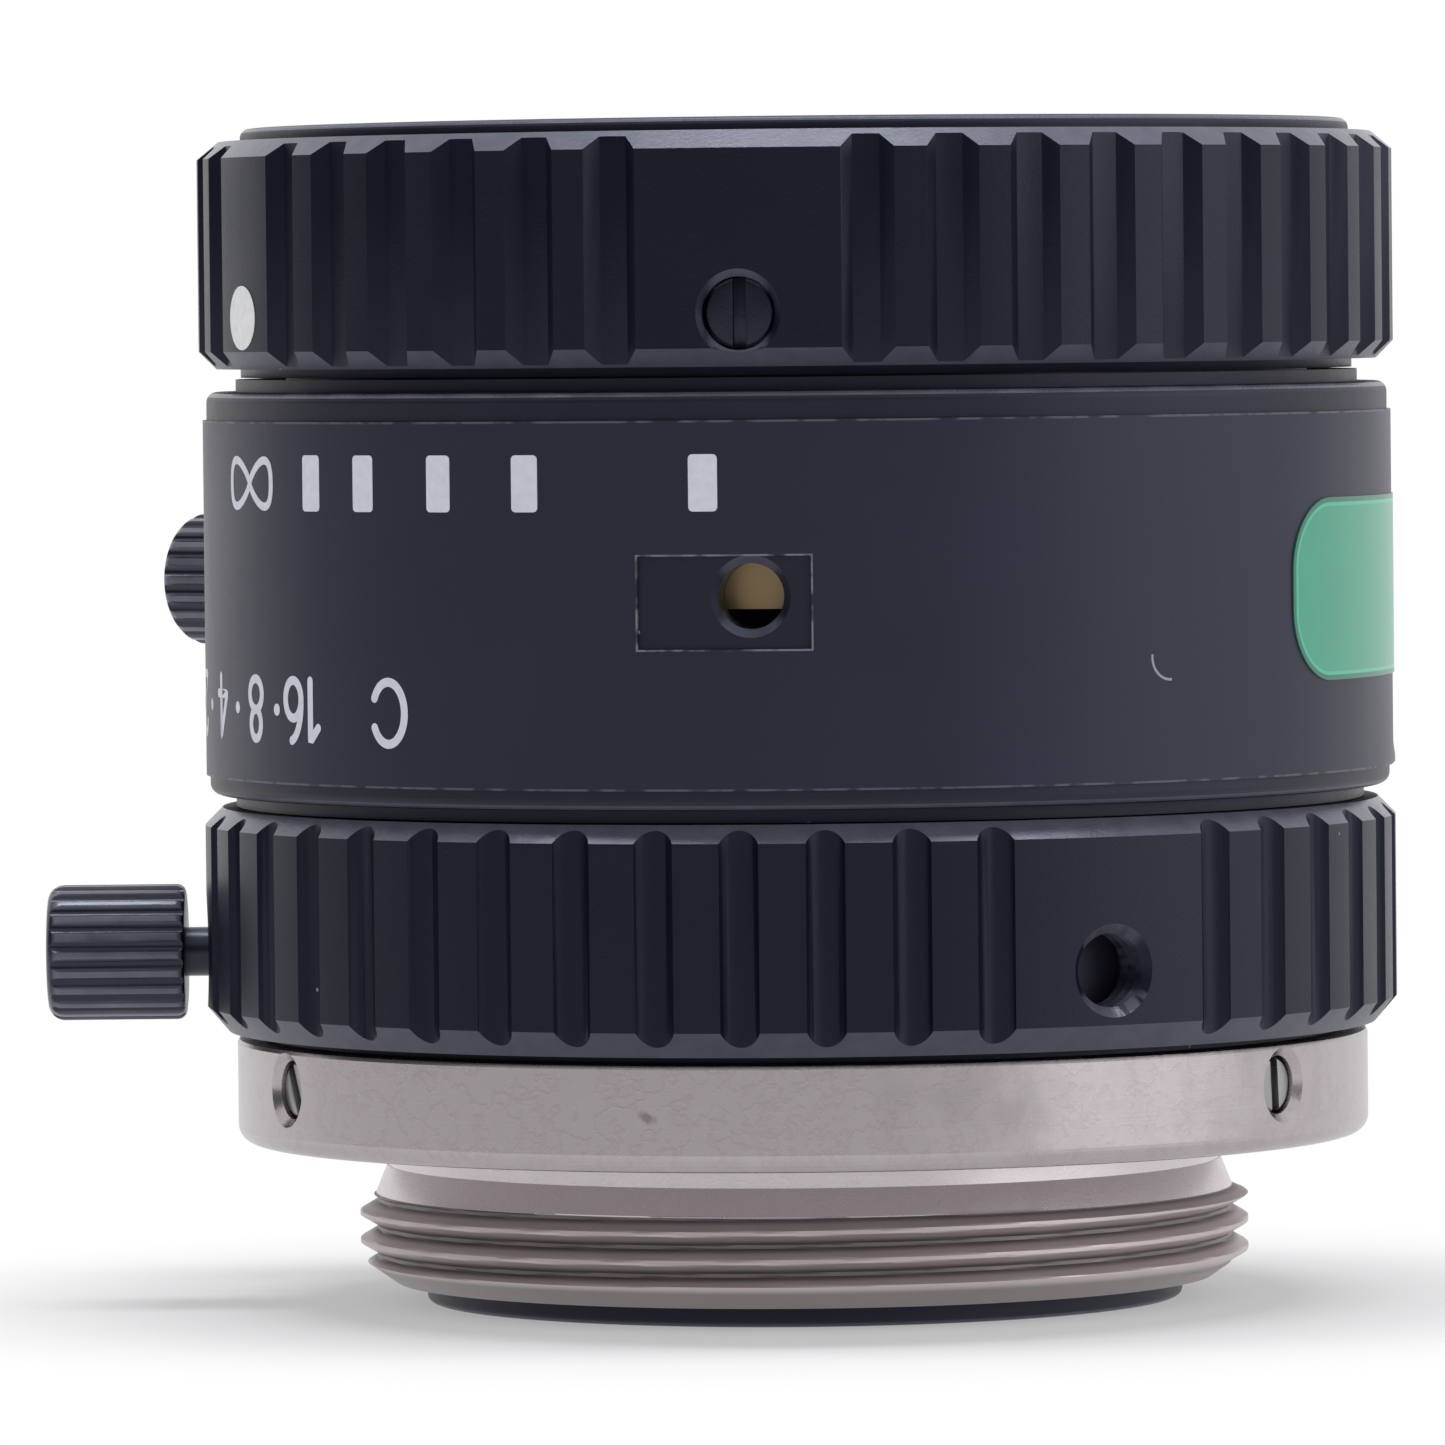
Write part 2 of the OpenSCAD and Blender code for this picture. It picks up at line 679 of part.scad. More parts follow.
module focus_set_screws() {
    head_x = focus_ring_d / 2 - screw_recess;
    color([0.12, 0.12, 0.14]) for (azimuth = focus_screw_az)
        around(azimuth) grub_screw(tapped_d / 2 - seat_gap, sleeve_r + seat_gap, head_x, focus_screw_z);
}

module helicoid_sleeve() {
    color([0.78, 0.62, 0.32]) rotate_extrude() polygon([
        [guide_r, sleeve_z],
        [sleeve_r, sleeve_z],
        [sleeve_r, thrust_z],
        [thrust_r, thrust_z],
        [thrust_r, thrust_top],
        [sleeve_r, thrust_top],
        [sleeve_r, sleeve_top],
        [guide_r, sleeve_top]
    ]);
}

// Optical cell and front barrel

module cell_barrel() {
    color([0.07, 0.07, 0.08]) difference() {
        rotate_extrude() polygon([
            [cell_bore_r, cell_z],
            [cell_r, cell_z],
            [cell_r, front_floor_z - 1.2],
            [cell_spigot_r, front_floor_z - 1.2],
            [cell_spigot_r, front_floor_top],
            [front_bore_r, front_floor_top],
            [front_bore_r, glass_3_z],
            [web_clear_r, glass_3_z],
            [web_clear_r, web_z],
            [cell_bore_r, web_z]
        ]);
        sector(cell_r + cut, cell_bore_r - cut, drive_z[0], drive_z[1],
            drive_az - slot_margin, drive_az + iris_sweep + slot_margin);
        around(key_az) translate([cell_bore_r - cut, -key_r - run_gap, drive_z[0]])
            cube([cell_r - cell_bore_r + 2 * cut, 2 * (key_r + run_gap), drive_z[1] - drive_z[0]]);
    }
}

module front_barrel() {
    edge = 0.25;
    color([0.09, 0.09, 0.11]) rotate_extrude() polygon(concat(
        [
            [cell_spigot_r + seat_gap, front_floor_z - 1.2],
            [cell_r, front_floor_z - 1.2],
            [cell_r, front_floor_z],
            [rim_d / 2, front_floor_z]
        ],
        arc([rim_d / 2 - edge, rim_top - edge], edge, 0, 90),
        [
            [filter_r + 0.2, rim_top],
            [filter_r, rim_top - 0.2],
            [filter_r, name_ring_top + 0.1],
            [filter_r + 0.25, name_ring_top + 0.1],
            [filter_r + 0.25, front_floor_top],
            [cell_spigot_r + seat_gap, front_floor_top]
        ]
    ));
}

// The bare ring that holds the front glass, with two spanner slots
module name_ring() {
    color([0.06, 0.06, 0.07]) difference() {
        rotate_extrude() polygon([
            [front_clear_r, glass_1_top],
            [front_glass_r - 0.1, glass_1_top],
            [front_glass_r - 0.1, front_floor_top],
            [filter_r - seat_gap, front_floor_top],
            [filter_r - seat_gap, name_ring_top],
            [front_clear_r + 1, name_ring_top],
            [front_clear_r, name_ring_top - 0.8]
        ]);
        for (azimuth = [90, 270]) around(azimuth)
            translate([filter_r - 1.8, -0.6, name_ring_top - 0.4]) cube([2, 1.2, cut]);
    }
}

// A glass with flat edges round its curved faces. A positive radius bulges,
// a negative one is hollow, and clear_r is the half width of the curve.
module glass(r, clear_r, z_low, edge, r_top, r_low) {
    $fn = 240;
    z_high = z_low + edge;
    rise_top = sqrt(pow(r_top, 2) - pow(clear_r, 2));
    rise_low = sqrt(pow(r_low, 2) - pow(clear_r, 2));
    color([0.55, 0.6, 0.68, 0.5]) union() {
        difference() {
            bore(r, z_low, z_high);
            if (r_top < 0) translate([0, 0, z_high + rise_top]) sphere(r = -r_top);
            if (r_low < 0) translate([0, 0, z_low - rise_low]) sphere(r = -r_low);
        }
        if (r_top > 0) intersection() {
            translate([0, 0, z_high - rise_top]) sphere(r = r_top);
            bore(clear_r, z_high - edge / 4, z_high + r_top);
        }
        if (r_low > 0) intersection() {
            translate([0, 0, z_low + rise_low]) sphere(r = r_low);
            bore(clear_r, z_low - r_low, z_low + edge / 4);
        }
    }
}

module front_glass(clear_r, z, edge, r_front, r_rear) glass(front_glass_r, clear_r, z, edge, r_front, r_rear);
module rear_glass(z, edge, r_front, r_rear) glass(rear_glass_r, rear_clear_r, z, edge, r_front, r_rear);

module lens_1() front_glass(front_clear_r - 0.4, glass_1_z, glass_1_edge, glass_1_front_r, -glass_1_rear_r);
module lens_2() front_glass(front_clear_r, glass_2_z, glass_2_edge, glass_2_front_r, glass_2_rear_r);
module lens_3()
    front_glass(web_clear_r - web_lap, glass_3_z, glass_3_edge, -glass_3_front_r, -glass_3_rear_r);
module lens_4() rear_glass(glass_4_z, glass_4_edge, -glass_4_front_r, -glass_4_rear_r);
module lens_5() rear_glass(glass_5_z, glass_5_edge, glass_5_front_r, glass_5_rear_r);
module lens_6() rear_glass(glass_6_z, glass_6_edge, glass_6_front_r, glass_6_rear_r);

module spacer(r_out, wall, z_low, h) color([0.08, 0.08, 0.09]) tube(r_out, r_out - wall, z_low, z_low + h);
module front_spacer() spacer(front_glass_r, 0.8, front_spacer_z, front_spacer_h);
module inner_spacer() spacer(front_glass_r, 0.8, inner_spacer_z, inner_spacer_h);
module rear_spacer() spacer(rear_glass_r, 0.7, rear_spacer_z, rear_spacer_h);

// Iris

module pivot_plate() {
    color([0.25, 0.25, 0.26]) difference() {
        tube(cell_bore_r - seat_gap, aperture_r + 0.4, pivot_plate_z, web_z);
        for (i = [0 : blade_count - 1]) around(blade_az(i)) translate([pivot_r, 0, 0])
            bore(pivot_pin_r + pin_clear, pivot_plate_z - cut, web_z + cut);
    }
}

function blade_az(i) = i * 360 / blade_count;
function blade_z(i) = pivot_plate_z - blade_gap - blade_t / 2 - i * blade_pitch;

// A crescent leaf, with its pivot pin above it and its drive pin below
module blade(i) {
    z = blade_z(i);
    strap_x = aperture_r + blade_w / 2;
    strap_w = 1.5 * blade_lug_r;
    color([0.16, 0.16, 0.17]) around(blade_az(i)) {
        translate([0, 0, z]) linear_extrude(blade_t) union() {
            polygon(crescent());
            translate([strap_x, -strap_w / 2]) square([pivot_r + crank - strap_x, strap_w]);
            translate([pivot_r + crank, 0]) circle(r = blade_lug_r);
        }
        translate([pivot_r, 0, 0]) bore(pivot_pin_r, z + blade_t / 2, web_z - 0.1);
        translate([pivot_r + crank, 0, 0]) bore(blade_pin_r, cam_top - cam_plate_h + 0.05, z + blade_t / 2);
    }
}

// The outline of a leaf's arc, with round ends
function crescent() =
    let (mid_r = aperture_r + blade_w / 2, tip = mid_r * [cos(blade_span), sin(blade_span)])
    concat(
        arc([0, 0], mid_r + blade_w / 2, 0, blade_span, 24),
        arc(tip, blade_w / 2, blade_span + 15, blade_span + 165, 10),
        arc([0, 0], mid_r - blade_w / 2, blade_span, 0, 24),
        arc([mid_r, 0], blade_w / 2, 195, 345, 10)
    );

module blade_1() blade(0);
module blade_2() blade(1);
module blade_3() blade(2);
module blade_4() blade(3);
module blade_5() blade(4);
module blade_6() blade(5);

// The drive pin of a blade that has turned a share t of its sweep, seen from
// the cam ring, which turns with the iris ring at the same time
function turned(p, a) = [p[0] * cos(a) - p[1] * sin(a), p[0] * sin(a) + p[1] * cos(a)];
function cam_point(t) = turned(
    [pivot_r + crank * cos(t * blade_sweep), crank * sin(t * blade_sweep)], -t * iris_sweep);
function cam_heading(t) = let (step = cam_point(t + 0.01) - cam_point(t - 0.01)) atan2(step[1], step[0]);

// A cam slot: the path of a blade's drive pin, widened, with round ends
module cam_slot() {
    half_w = blade_pin_r + pin_clear;
    steps = 12;
    outline = concat(
        [for (i = [0 : steps]) edge_point(i / steps, -90, half_w)],
        [for (i = [1 : steps - 1]) edge_point(1, -90 + 180 * i / steps, half_w)],
        [for (i = [steps : -1 : 0]) edge_point(i / steps, 90, half_w)],
        [for (i = [1 : steps - 1]) edge_point(0, 90 + 180 * i / steps, half_w)]
    );
    translate([0, 0, cam_top - cam_plate_h - cut]) linear_extrude(cam_plate_h + 2 * cut) polygon(outline);
}

function edge_point(t, side, half_w) =
    let (a = cam_heading(t) + side) cam_point(t) + half_w * [cos(a), sin(a)];

module cam_ring() {
    notch_half = drive_pin_r + run_gap;
    color([0.7, 0.6, 0.35]) difference() {
        union() {
            tube(cam_r, cam_skirt_r, cam_z, cam_top);
            tube(cam_r, aperture_r + 1, cam_top - cam_plate_h, cam_top);
        }
        for (i = [0 : blade_count - 1]) around(blade_az(i)) cam_slot();
        around(drive_az) translate([cam_skirt_r - cut, -notch_half, cam_z - cut])
            cube([cam_r - cam_skirt_r + 2 * cut, 2 * notch_half, drive_z[1] - cam_z + cut]);
    }
}

// Rear cell

module rear_cell() {
    color([0.07, 0.07, 0.08]) rotate_extrude() polygon([
        [rear_bore_r, rear_tube_z],
        [rear_tube_r, rear_tube_z],
        [rear_tube_r, rear_flange_z],
        [cell_bore_r - seat_gap, rear_flange_z],
        [cell_bore_r - seat_gap, rear_flange_top],
        [rear_tube_r, rear_flange_top],
        [rear_tube_r, rear_tube_top],
        [rear_bore_r - rear_lip, rear_tube_top],
        [rear_bore_r - rear_lip, rear_tube_top - rear_lip_h],
        [rear_bore_r, rear_tube_top - rear_lip_h]
    ]);
}

module rear_retainer() {
    color([0.06, 0.06, 0.07]) difference() {
        tube(rear_glass_r, rear_clear_r, rear_retainer_z, glass_6_z);
        for (azimuth = [90, 270]) around(azimuth)
            translate([rear_glass_r - 2, -0.5, rear_retainer_z - cut]) cube([3, 1, cut + 0.4]);
    }
}

mount_ring();
mount_set_screws();
rear_baffle();
main_barrel();
scale_band();
side_label();
guide_key();
sleeve_keeper();
iris_ring();
iris_drive_pin();
iris_lock_screw();
focus_lock_screw();
focus_ring();
focus_set_screws();
helicoid_sleeve();
cell_barrel();
front_barrel();
name_ring();
lens_1();
front_spacer();
lens_2();
inner_spacer();
lens_3();
pivot_plate();
cam_ring();
blade_1();
blade_2();
blade_3();
blade_4();
blade_5();
blade_6();
rear_cell();
lens_4();
lens_5();
rear_spacer();
lens_6();
rear_retainer();
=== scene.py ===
"""A C-mount lens for machine vision, dressed for the camera.

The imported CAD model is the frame. This file turns, cuts and prints the pieces
that show, gives every piece its finish and lights the lens on a pale floor.
Pieces are modelled in millimetres, with the optical axis along Z, and brought
to metres when they are finished. Azimuths are in degrees, from the side that
faces the viewer (-Y), growing to the right.
"""

import math
from contextlib import contextmanager

import bpy
import numpy as np
from bpy.props import FloatProperty, FloatVectorProperty, IntProperty, PointerProperty
from mathutils import Matrix, Quaternion, Vector


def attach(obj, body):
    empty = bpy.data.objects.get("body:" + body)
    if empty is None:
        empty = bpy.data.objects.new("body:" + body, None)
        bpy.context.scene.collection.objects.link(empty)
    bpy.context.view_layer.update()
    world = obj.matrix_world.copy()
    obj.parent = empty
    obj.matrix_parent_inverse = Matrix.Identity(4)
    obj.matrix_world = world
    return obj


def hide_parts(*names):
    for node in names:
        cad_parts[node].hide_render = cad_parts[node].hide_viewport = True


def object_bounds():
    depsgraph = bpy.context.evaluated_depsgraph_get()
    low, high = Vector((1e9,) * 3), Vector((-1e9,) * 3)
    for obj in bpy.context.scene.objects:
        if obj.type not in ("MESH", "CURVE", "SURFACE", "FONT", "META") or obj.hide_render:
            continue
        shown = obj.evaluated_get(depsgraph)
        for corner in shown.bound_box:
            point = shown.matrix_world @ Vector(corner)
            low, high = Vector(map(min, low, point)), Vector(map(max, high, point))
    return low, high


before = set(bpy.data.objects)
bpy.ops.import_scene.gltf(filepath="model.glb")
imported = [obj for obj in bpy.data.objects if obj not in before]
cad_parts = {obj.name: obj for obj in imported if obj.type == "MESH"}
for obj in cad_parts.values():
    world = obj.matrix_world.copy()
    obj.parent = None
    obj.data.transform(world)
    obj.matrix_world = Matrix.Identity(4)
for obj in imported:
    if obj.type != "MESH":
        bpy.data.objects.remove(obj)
CAD_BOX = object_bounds()

bl_info = {
    "name": "Machine Vision Lens",
    "version": (1, 0, 0),
    "blender": (4, 5, 0),
    "location": "3D View > Sidebar > Lens",
    "description": "Dresses a C-mount lens and sets it in a studio",
    "category": "Object",
}

MM = 0.001

# Places that the pieces share, in millimetres and degrees
SET_SCREW_AZIMUTHS = (-63.9, 56.1, 176.1)
SET_SCREW_Z = 1.85
IRIS_HOLE_AZIMUTHS = (30.26, -89.74, 150.26)
IRIS_HOLE_Z = 5.4
FOCUS_SCREW_AZIMUTHS = (-5.27, 114.73, -125.27)
FOCUS_SCREW_Z = 23.5
FOCUS_DOT_AZIMUTH = -65.27
LOCK_AZIMUTHS = (-124.4, -4.4)
LOCK_Z = 15.8
FLANGE_R = 16.15
BARREL_R = 16.84
FILM_R = 16.95
FILM_Z = (10.5, 20.6)
IRIS_R = 17.0
FOCUS_R = 17.04
RIM_R = 15.8
GRIP_PITCH = 8.0
SEAM_AZIMUTH = 91.0
WINDOW_Z = (14.36, 16.9)
WINDOW_SPREAD = (-10.6, 5.6)
LABEL_HALF_W = math.radians(37) * FILM_R
LABEL_HALF_H = 2.55
LABEL_CORNER = 2.0
LABEL_Z = 15.65
FOCUS_MARKS_Z = 18.9
NUMERALS_Z = 12.58
INK_T = 0.006
INK_R = FILM_R + 0.002
BLUE_SHEEN = (0.72, 0.78, 1.0, 1.0)


# Modelling

def deselect():
    """Leaves nothing selected, so that an operator only acts on what it is given."""
    if bpy.context.object and bpy.context.object.mode != "OBJECT":
        bpy.ops.object.mode_set(mode="OBJECT")
    bpy.ops.object.select_all(action="DESELECT")


def pick(obj):
    """Makes one object the selected and active one."""
    deselect()
    obj.select_set(True)
    bpy.context.view_layer.objects.active = obj


def started(name):
    """Names the primitive that was just added, and returns it."""
    obj = bpy.context.object
    obj.name = name
    obj.data.name = name
    return obj


@contextmanager
def editing(obj):
    """Edit mode on one object, with all of it selected."""
    pick(obj)
    bpy.ops.object.mode_set(mode="EDIT")
    bpy.ops.mesh.select_all(action="SELECT")
    yield
    bpy.ops.object.mode_set(mode="OBJECT")


def read(parts, attribute, width=1, kind=float):
    """One attribute of a mesh's parts, as an array."""
    values = np.empty(len(parts) * width, kind)
    parts.foreach_get(attribute, values)
    return values.reshape(-1, width) if width > 1 else values


def points_of(obj):
    """The vertices' places as an array of rows."""
    return read(obj.data.vertices, "co", 3)


def move_points(obj, places):
    """Moves the vertices to new places."""
    obj.data.vertices.foreach_set("co", np.asarray(places, float).ravel())
    obj.data.update()


def select_edges(obj, test):
    """In edit mode, selects the edges whose two end points pass a test."""
    bpy.ops.mesh.select_all(action="DESELECT")
    bpy.ops.mesh.select_mode(type="EDGE")
    bpy.ops.object.mode_set(mode="OBJECT")
    places = points_of(obj)
    for edge in obj.data.edges:
        edge.select = bool(test(*(places[v] for v in edge.vertices)))
    bpy.ops.object.mode_set(mode="EDIT")


def mend(obj):
    """Merges doubled vertices and turns all faces outwards."""
    with editing(obj):
        bpy.ops.mesh.remove_doubles(threshold=0.0005)
        bpy.ops.mesh.normals_make_consistent(inside=False)
    return obj


def plate(name, outline):
    """A flat face: a circle's vertices, drawn out to an outline in X and Y."""
    deselect()
    bpy.ops.mesh.primitive_circle_add(vertices=len(outline), radius=1, fill_type="NGON")
    obj = started(name)
    move_points(obj, [(x, y, 0) for x, y in outline])
    return obj


def turned(name, outline, steps=360, low=0.0, high=360.0):
    """Spins an outline of radius and height about the optical axis, from one azimuth to another."""
    deselect()
    whole = high - low >= 360
    bpy.ops.mesh.primitive_circle_add(
        vertices=len(outline), radius=1, fill_type="NOTHING" if whole else "NGON")
    obj = started(name)
    start = math.radians(low - 90)
    move_points(obj, [(r * math.cos(start), r * math.sin(start), z) for r, z in outline])
    with editing(obj):
        bpy.ops.mesh.spin(steps=steps, angle=math.radians(low - high), center=(0, 0, 0), axis=(0, 0, 1))
    return mend(obj)


def oblong(left, right, bottom, top):
    """Outline of an oblong."""
    return [(left, bottom), (right, bottom), (right, top), (left, top)]


def rounded(centre, radius, low, high, steps=6):
    """Points of a quarter round in an outline, between two angles."""
    angles = [math.radians(low + (high - low) * i / steps) for i in range(steps + 1)]
    return [(centre[0] + radius * math.cos(a), centre[1] + radius * math.sin(a)) for a in angles]


def round_cornered(half_w, half_h, corner, steps):
    """Outline of an oblong with round corners, about its middle."""
    outline = []
    for x, y, start in ((1, 1, 0), (-1, 1, 90), (-1, -1, 180), (1, -1, 270)):
        centre = (x * (half_w - corner), y * (half_h - corner))
        outline += rounded(centre, corner, start, start + 90, steps)
    return outline


def rod(name, outline, steps=48):
    """A turned piece that lies along +X: its outline is radius and place on X."""
    obj = turned(name, outline, steps)
    obj.data.transform(Matrix.Rotation(math.radians(90), 4, "Y"))
    return obj


def pin(radius, start, end, steps=48):
    """A plain rod along +X, which cuts a plain hole."""
    return rod("pin", [(0, start), (radius, start), (radius, end), (0, end)], steps)


def sunk_pin(radius, start, edge, sink_r, sink, end, steps=48):
    """A rod along +X that cuts a hole with a countersink."""
    return rod("pin", [
        (0, start), (radius, start), (radius, edge), (sink_r, sink), (sink_r, end), (0, end)], steps)


def aimed(obj, azimuth, height=0.0):
    """Turns a piece that was modelled along +X to an azimuth, at a height."""
    pick(obj)
    obj.location = (0, 0, height)
    obj.rotation_euler = (0, 0, math.radians(azimuth - 90))
    bpy.ops.object.transform_apply(location=True, rotation=True, scale=True)
    return obj


def copy_of(obj):
    """A copy with its own mesh."""
    twin = obj.copy()
    twin.data = obj.data.copy()
    bpy.context.collection.objects.link(twin)
    return twin


def repeated(obj, azimuths, height=0.0):
    """Copies of a piece modelled along +X, one at each azimuth, and the piece is used up."""
    pieces = [aimed(copy_of(obj), azimuth, height) for azimuth in azimuths]
    bpy.data.objects.remove(obj)
    return pieces


def joined(name, pieces):
    """Joins loose pieces into one object."""
    deselect()
    for piece in pieces:
        piece.select_set(True)
    bpy.context.view_layer.objects.active = pieces[0]
    if len(pieces) > 1:
        bpy.ops.object.join()
    return started(name)


def modified(obj, kind, **settings):
    """Adds a modifier and applies it."""
    pick(obj)
    modifier = obj.modifiers.new(kind.title(), kind)
    for name, value in settings.items():
        setattr(modifier, name, value)
    bpy.ops.object.modifier_apply(modifier=modifier.name)
    return obj


def carved(obj, cutters):
    """Cuts pieces out of a solid."""
    cutter = joined("cutter", cutters)
    modified(obj, "BOOLEAN", object=cutter, operation="DIFFERENCE", solver="EXACT")
    bpy.data.objects.remove(cutter)
    if len(obj.data.polygons) < 8:
        raise RuntimeError(f"{obj.name} was cut away")
    return obj


def softened(obj, width):
    """Breaks the sharp edges, as a deburring tool does."""
    return modified(
        obj, "BEVEL", width=width, segments=2, limit_method="ANGLE", angle_limit=math.radians(32),
        use_clamp_overlap=True, harden_normals=False)


def sliced(obj, normal, places):
    """Cuts the faces along planes, so that a piece can bend there."""
    with editing(obj):
        bpy.ops.mesh.select_mode(type="VERT")
        for place in places:
            bpy.ops.mesh.select_all(action="SELECT")
            bpy.ops.mesh.bisect(plane_co=[place * n for n in normal], plane_no=normal)
    return obj


def strips(obj, step):
    """Cuts a flat piece into strips across X."""
    xs = points_of(obj)[:, 0]
    return sliced(obj, (1, 0, 0), np.arange(xs.min() + step / 2, xs.max(), step))


def wrapped(obj, radius, azimuth, height):
    """Bends a flat piece round the optical axis. Its X runs round, its Y up and its Z out."""
    flat = points_of(obj)
    angle = math.radians(azimuth) + flat[:, 0] / radius
    out = radius + flat[:, 2]
    move_points(obj, np.column_stack(
        (out * np.sin(angle), -out * np.cos(angle), height + flat[:, 1])))
    return obj


def threaded(obj, wall_r, z_low, z_high, rows, form):
    """Cuts a wall's height into rows and moves each vertex in or out by a thread form."""
    near = 0.004

    def upright(a, b):
        radii = [math.hypot(p[0], p[1]) for p in (a, b)]
        heights = sorted((a[2], b[2]))
        on_wall = all(abs(r - wall_r) < near for r in radii)
        return on_wall and abs(heights[0] - z_low) < near and abs(heights[1] - z_high) < near

    with editing(obj):
        select_edges(obj, upright)
        bpy.ops.mesh.subdivide(number_cuts=rows - 1)
    places = points_of(obj)
    radii = np.hypot(places[:, 0], places[:, 1])
    wall = (abs(radii - wall_r) < near) & (places[:, 2] > z_low - near) & (places[:, 2] < z_high + near)
    turn = np.arctan2(places[wall, 1], places[wall, 0]) / (2 * math.pi)
    scale = form(turn, places[wall, 2]) / radii[wall]
    places[wall, 0] *= scale
    places[wall, 1] *= scale
    move_points(obj, places)
    return obj


def trued(obj, outer_r):
    """Gives turned faces the turned surface's exact normals, so that cuts in them leave no streaks."""
    mesh = obj.data
    corners = read(mesh.loops, "vertex_index", kind=int)
    counts = read(mesh.polygons, "loop_total", kind=int)
    facing = np.repeat(read(mesh.polygons, "normal", 3), counts, axis=0)
    normals = read(mesh.corner_normals, "vector", 3)
    places = points_of(obj)[corners] / MM
    radius = np.hypot(places[:, 0], places[:, 1])
    radial = places[:, :2] / radius[:, None]
    level = np.hypot(facing[:, 0], facing[:, 1])
    swing = abs(facing[:, 0] * radial[:, 1] - facing[:, 1] * radial[:, 0])
    outward = (facing[:, :2] * radial).sum(1) > 0
    on_lathe = outward & (level > 0.1) & (swing < 0.008 * level) & (
        (radius > outer_r - 0.02) | (abs(facing[:, 2]) > 0.3))
    exact = np.column_stack((radial * level[:, None], facing[:, 2]))
    shared = np.zeros((len(mesh.vertices), 3))
    shared[corners[on_lathe]] = exact[on_lathe]
    beside = (facing * shared[corners]).sum(1) > math.cos(math.radians(32))
    normals[beside] = shared[corners][beside]
    normals[on_lathe] = exact[on_lathe]
    mesh.normals_split_custom_set(normals.tolist())


def finished(obj, material, slot, body, *replaced, angle=35, outer_r=None):
    """Brings a piece to metres, smooths it and ties it to the CAD model."""
    pick(obj)
    obj.scale = (MM, MM, MM)
    bpy.ops.object.transform_apply(location=True, rotation=True, scale=True)
    bpy.ops.object.shade_smooth_by_angle(angle=math.radians(angle))
    if outer_r:
        trued(obj, outer_r)
    obj.data.materials.clear()
    obj.data.materials.append(material)
    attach(obj, body)
    if replaced:
        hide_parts(*replaced)


# Finishes

def adds(operation, reflected=False):
    """A method for one of Python's operators, which adds a Math node."""
    if reflected:
        return lambda self, other: self.tree.math(operation, other, self)
    return lambda self, other: self.tree.math(operation, self, other)


class Signal:
    """A shader socket that Python's operators work on."""

    def __init__(self, tree, socket):
        self.tree = tree
        self.socket = socket

    __add__, __radd__ = adds("ADD"), adds("ADD", reflected=True)
    __sub__, __rsub__ = adds("SUBTRACT"), adds("SUBTRACT", reflected=True)
    __mul__, __rmul__ = adds("MULTIPLY"), adds("MULTIPLY", reflected=True)
    __pow__, __rpow__ = adds("POWER"), adds("POWER", reflected=True)
    __gt__, __lt__ = adds("GREATER_THAN"), adds("LESS_THAN")

    def __abs__(self):
        return self.tree.math("ABSOLUTE", self)


class Nodes:
    """The node tree of a material or a world."""

    def __init__(self, owner):
        owner.use_nodes = True
        self.nodes = owner.node_tree.nodes
        self.links = owner.node_tree.links
        self.nodes.clear()

    def node(self, kind, settings=(), inputs=(), output=0):
        """Adds any node: its settings first, then the values or links of its sockets."""
        made = self.nodes.new(kind)
        for name, value in dict(settings).items():
            setattr(made, name, value)
        for name, value in dict(inputs).items():
            if isinstance(value, Signal):
                self.links.new(value.socket, made.inputs[name])
            else:
                made.inputs[name].default_value = value
        return Signal(self, made.outputs[output]) if made.outputs else made

    def math(self, operation, *values, clamp=False):
        """A Math node on sockets and numbers."""
        return self.node(
            "ShaderNodeMath", {"operation": operation, "use_clamp": clamp}, dict(enumerate(values)))

    def between(self, factor, first, second):
        """A shader between two."""
        return self.node("ShaderNodeMixShader", {}, {0: factor, 1: first, 2: second})


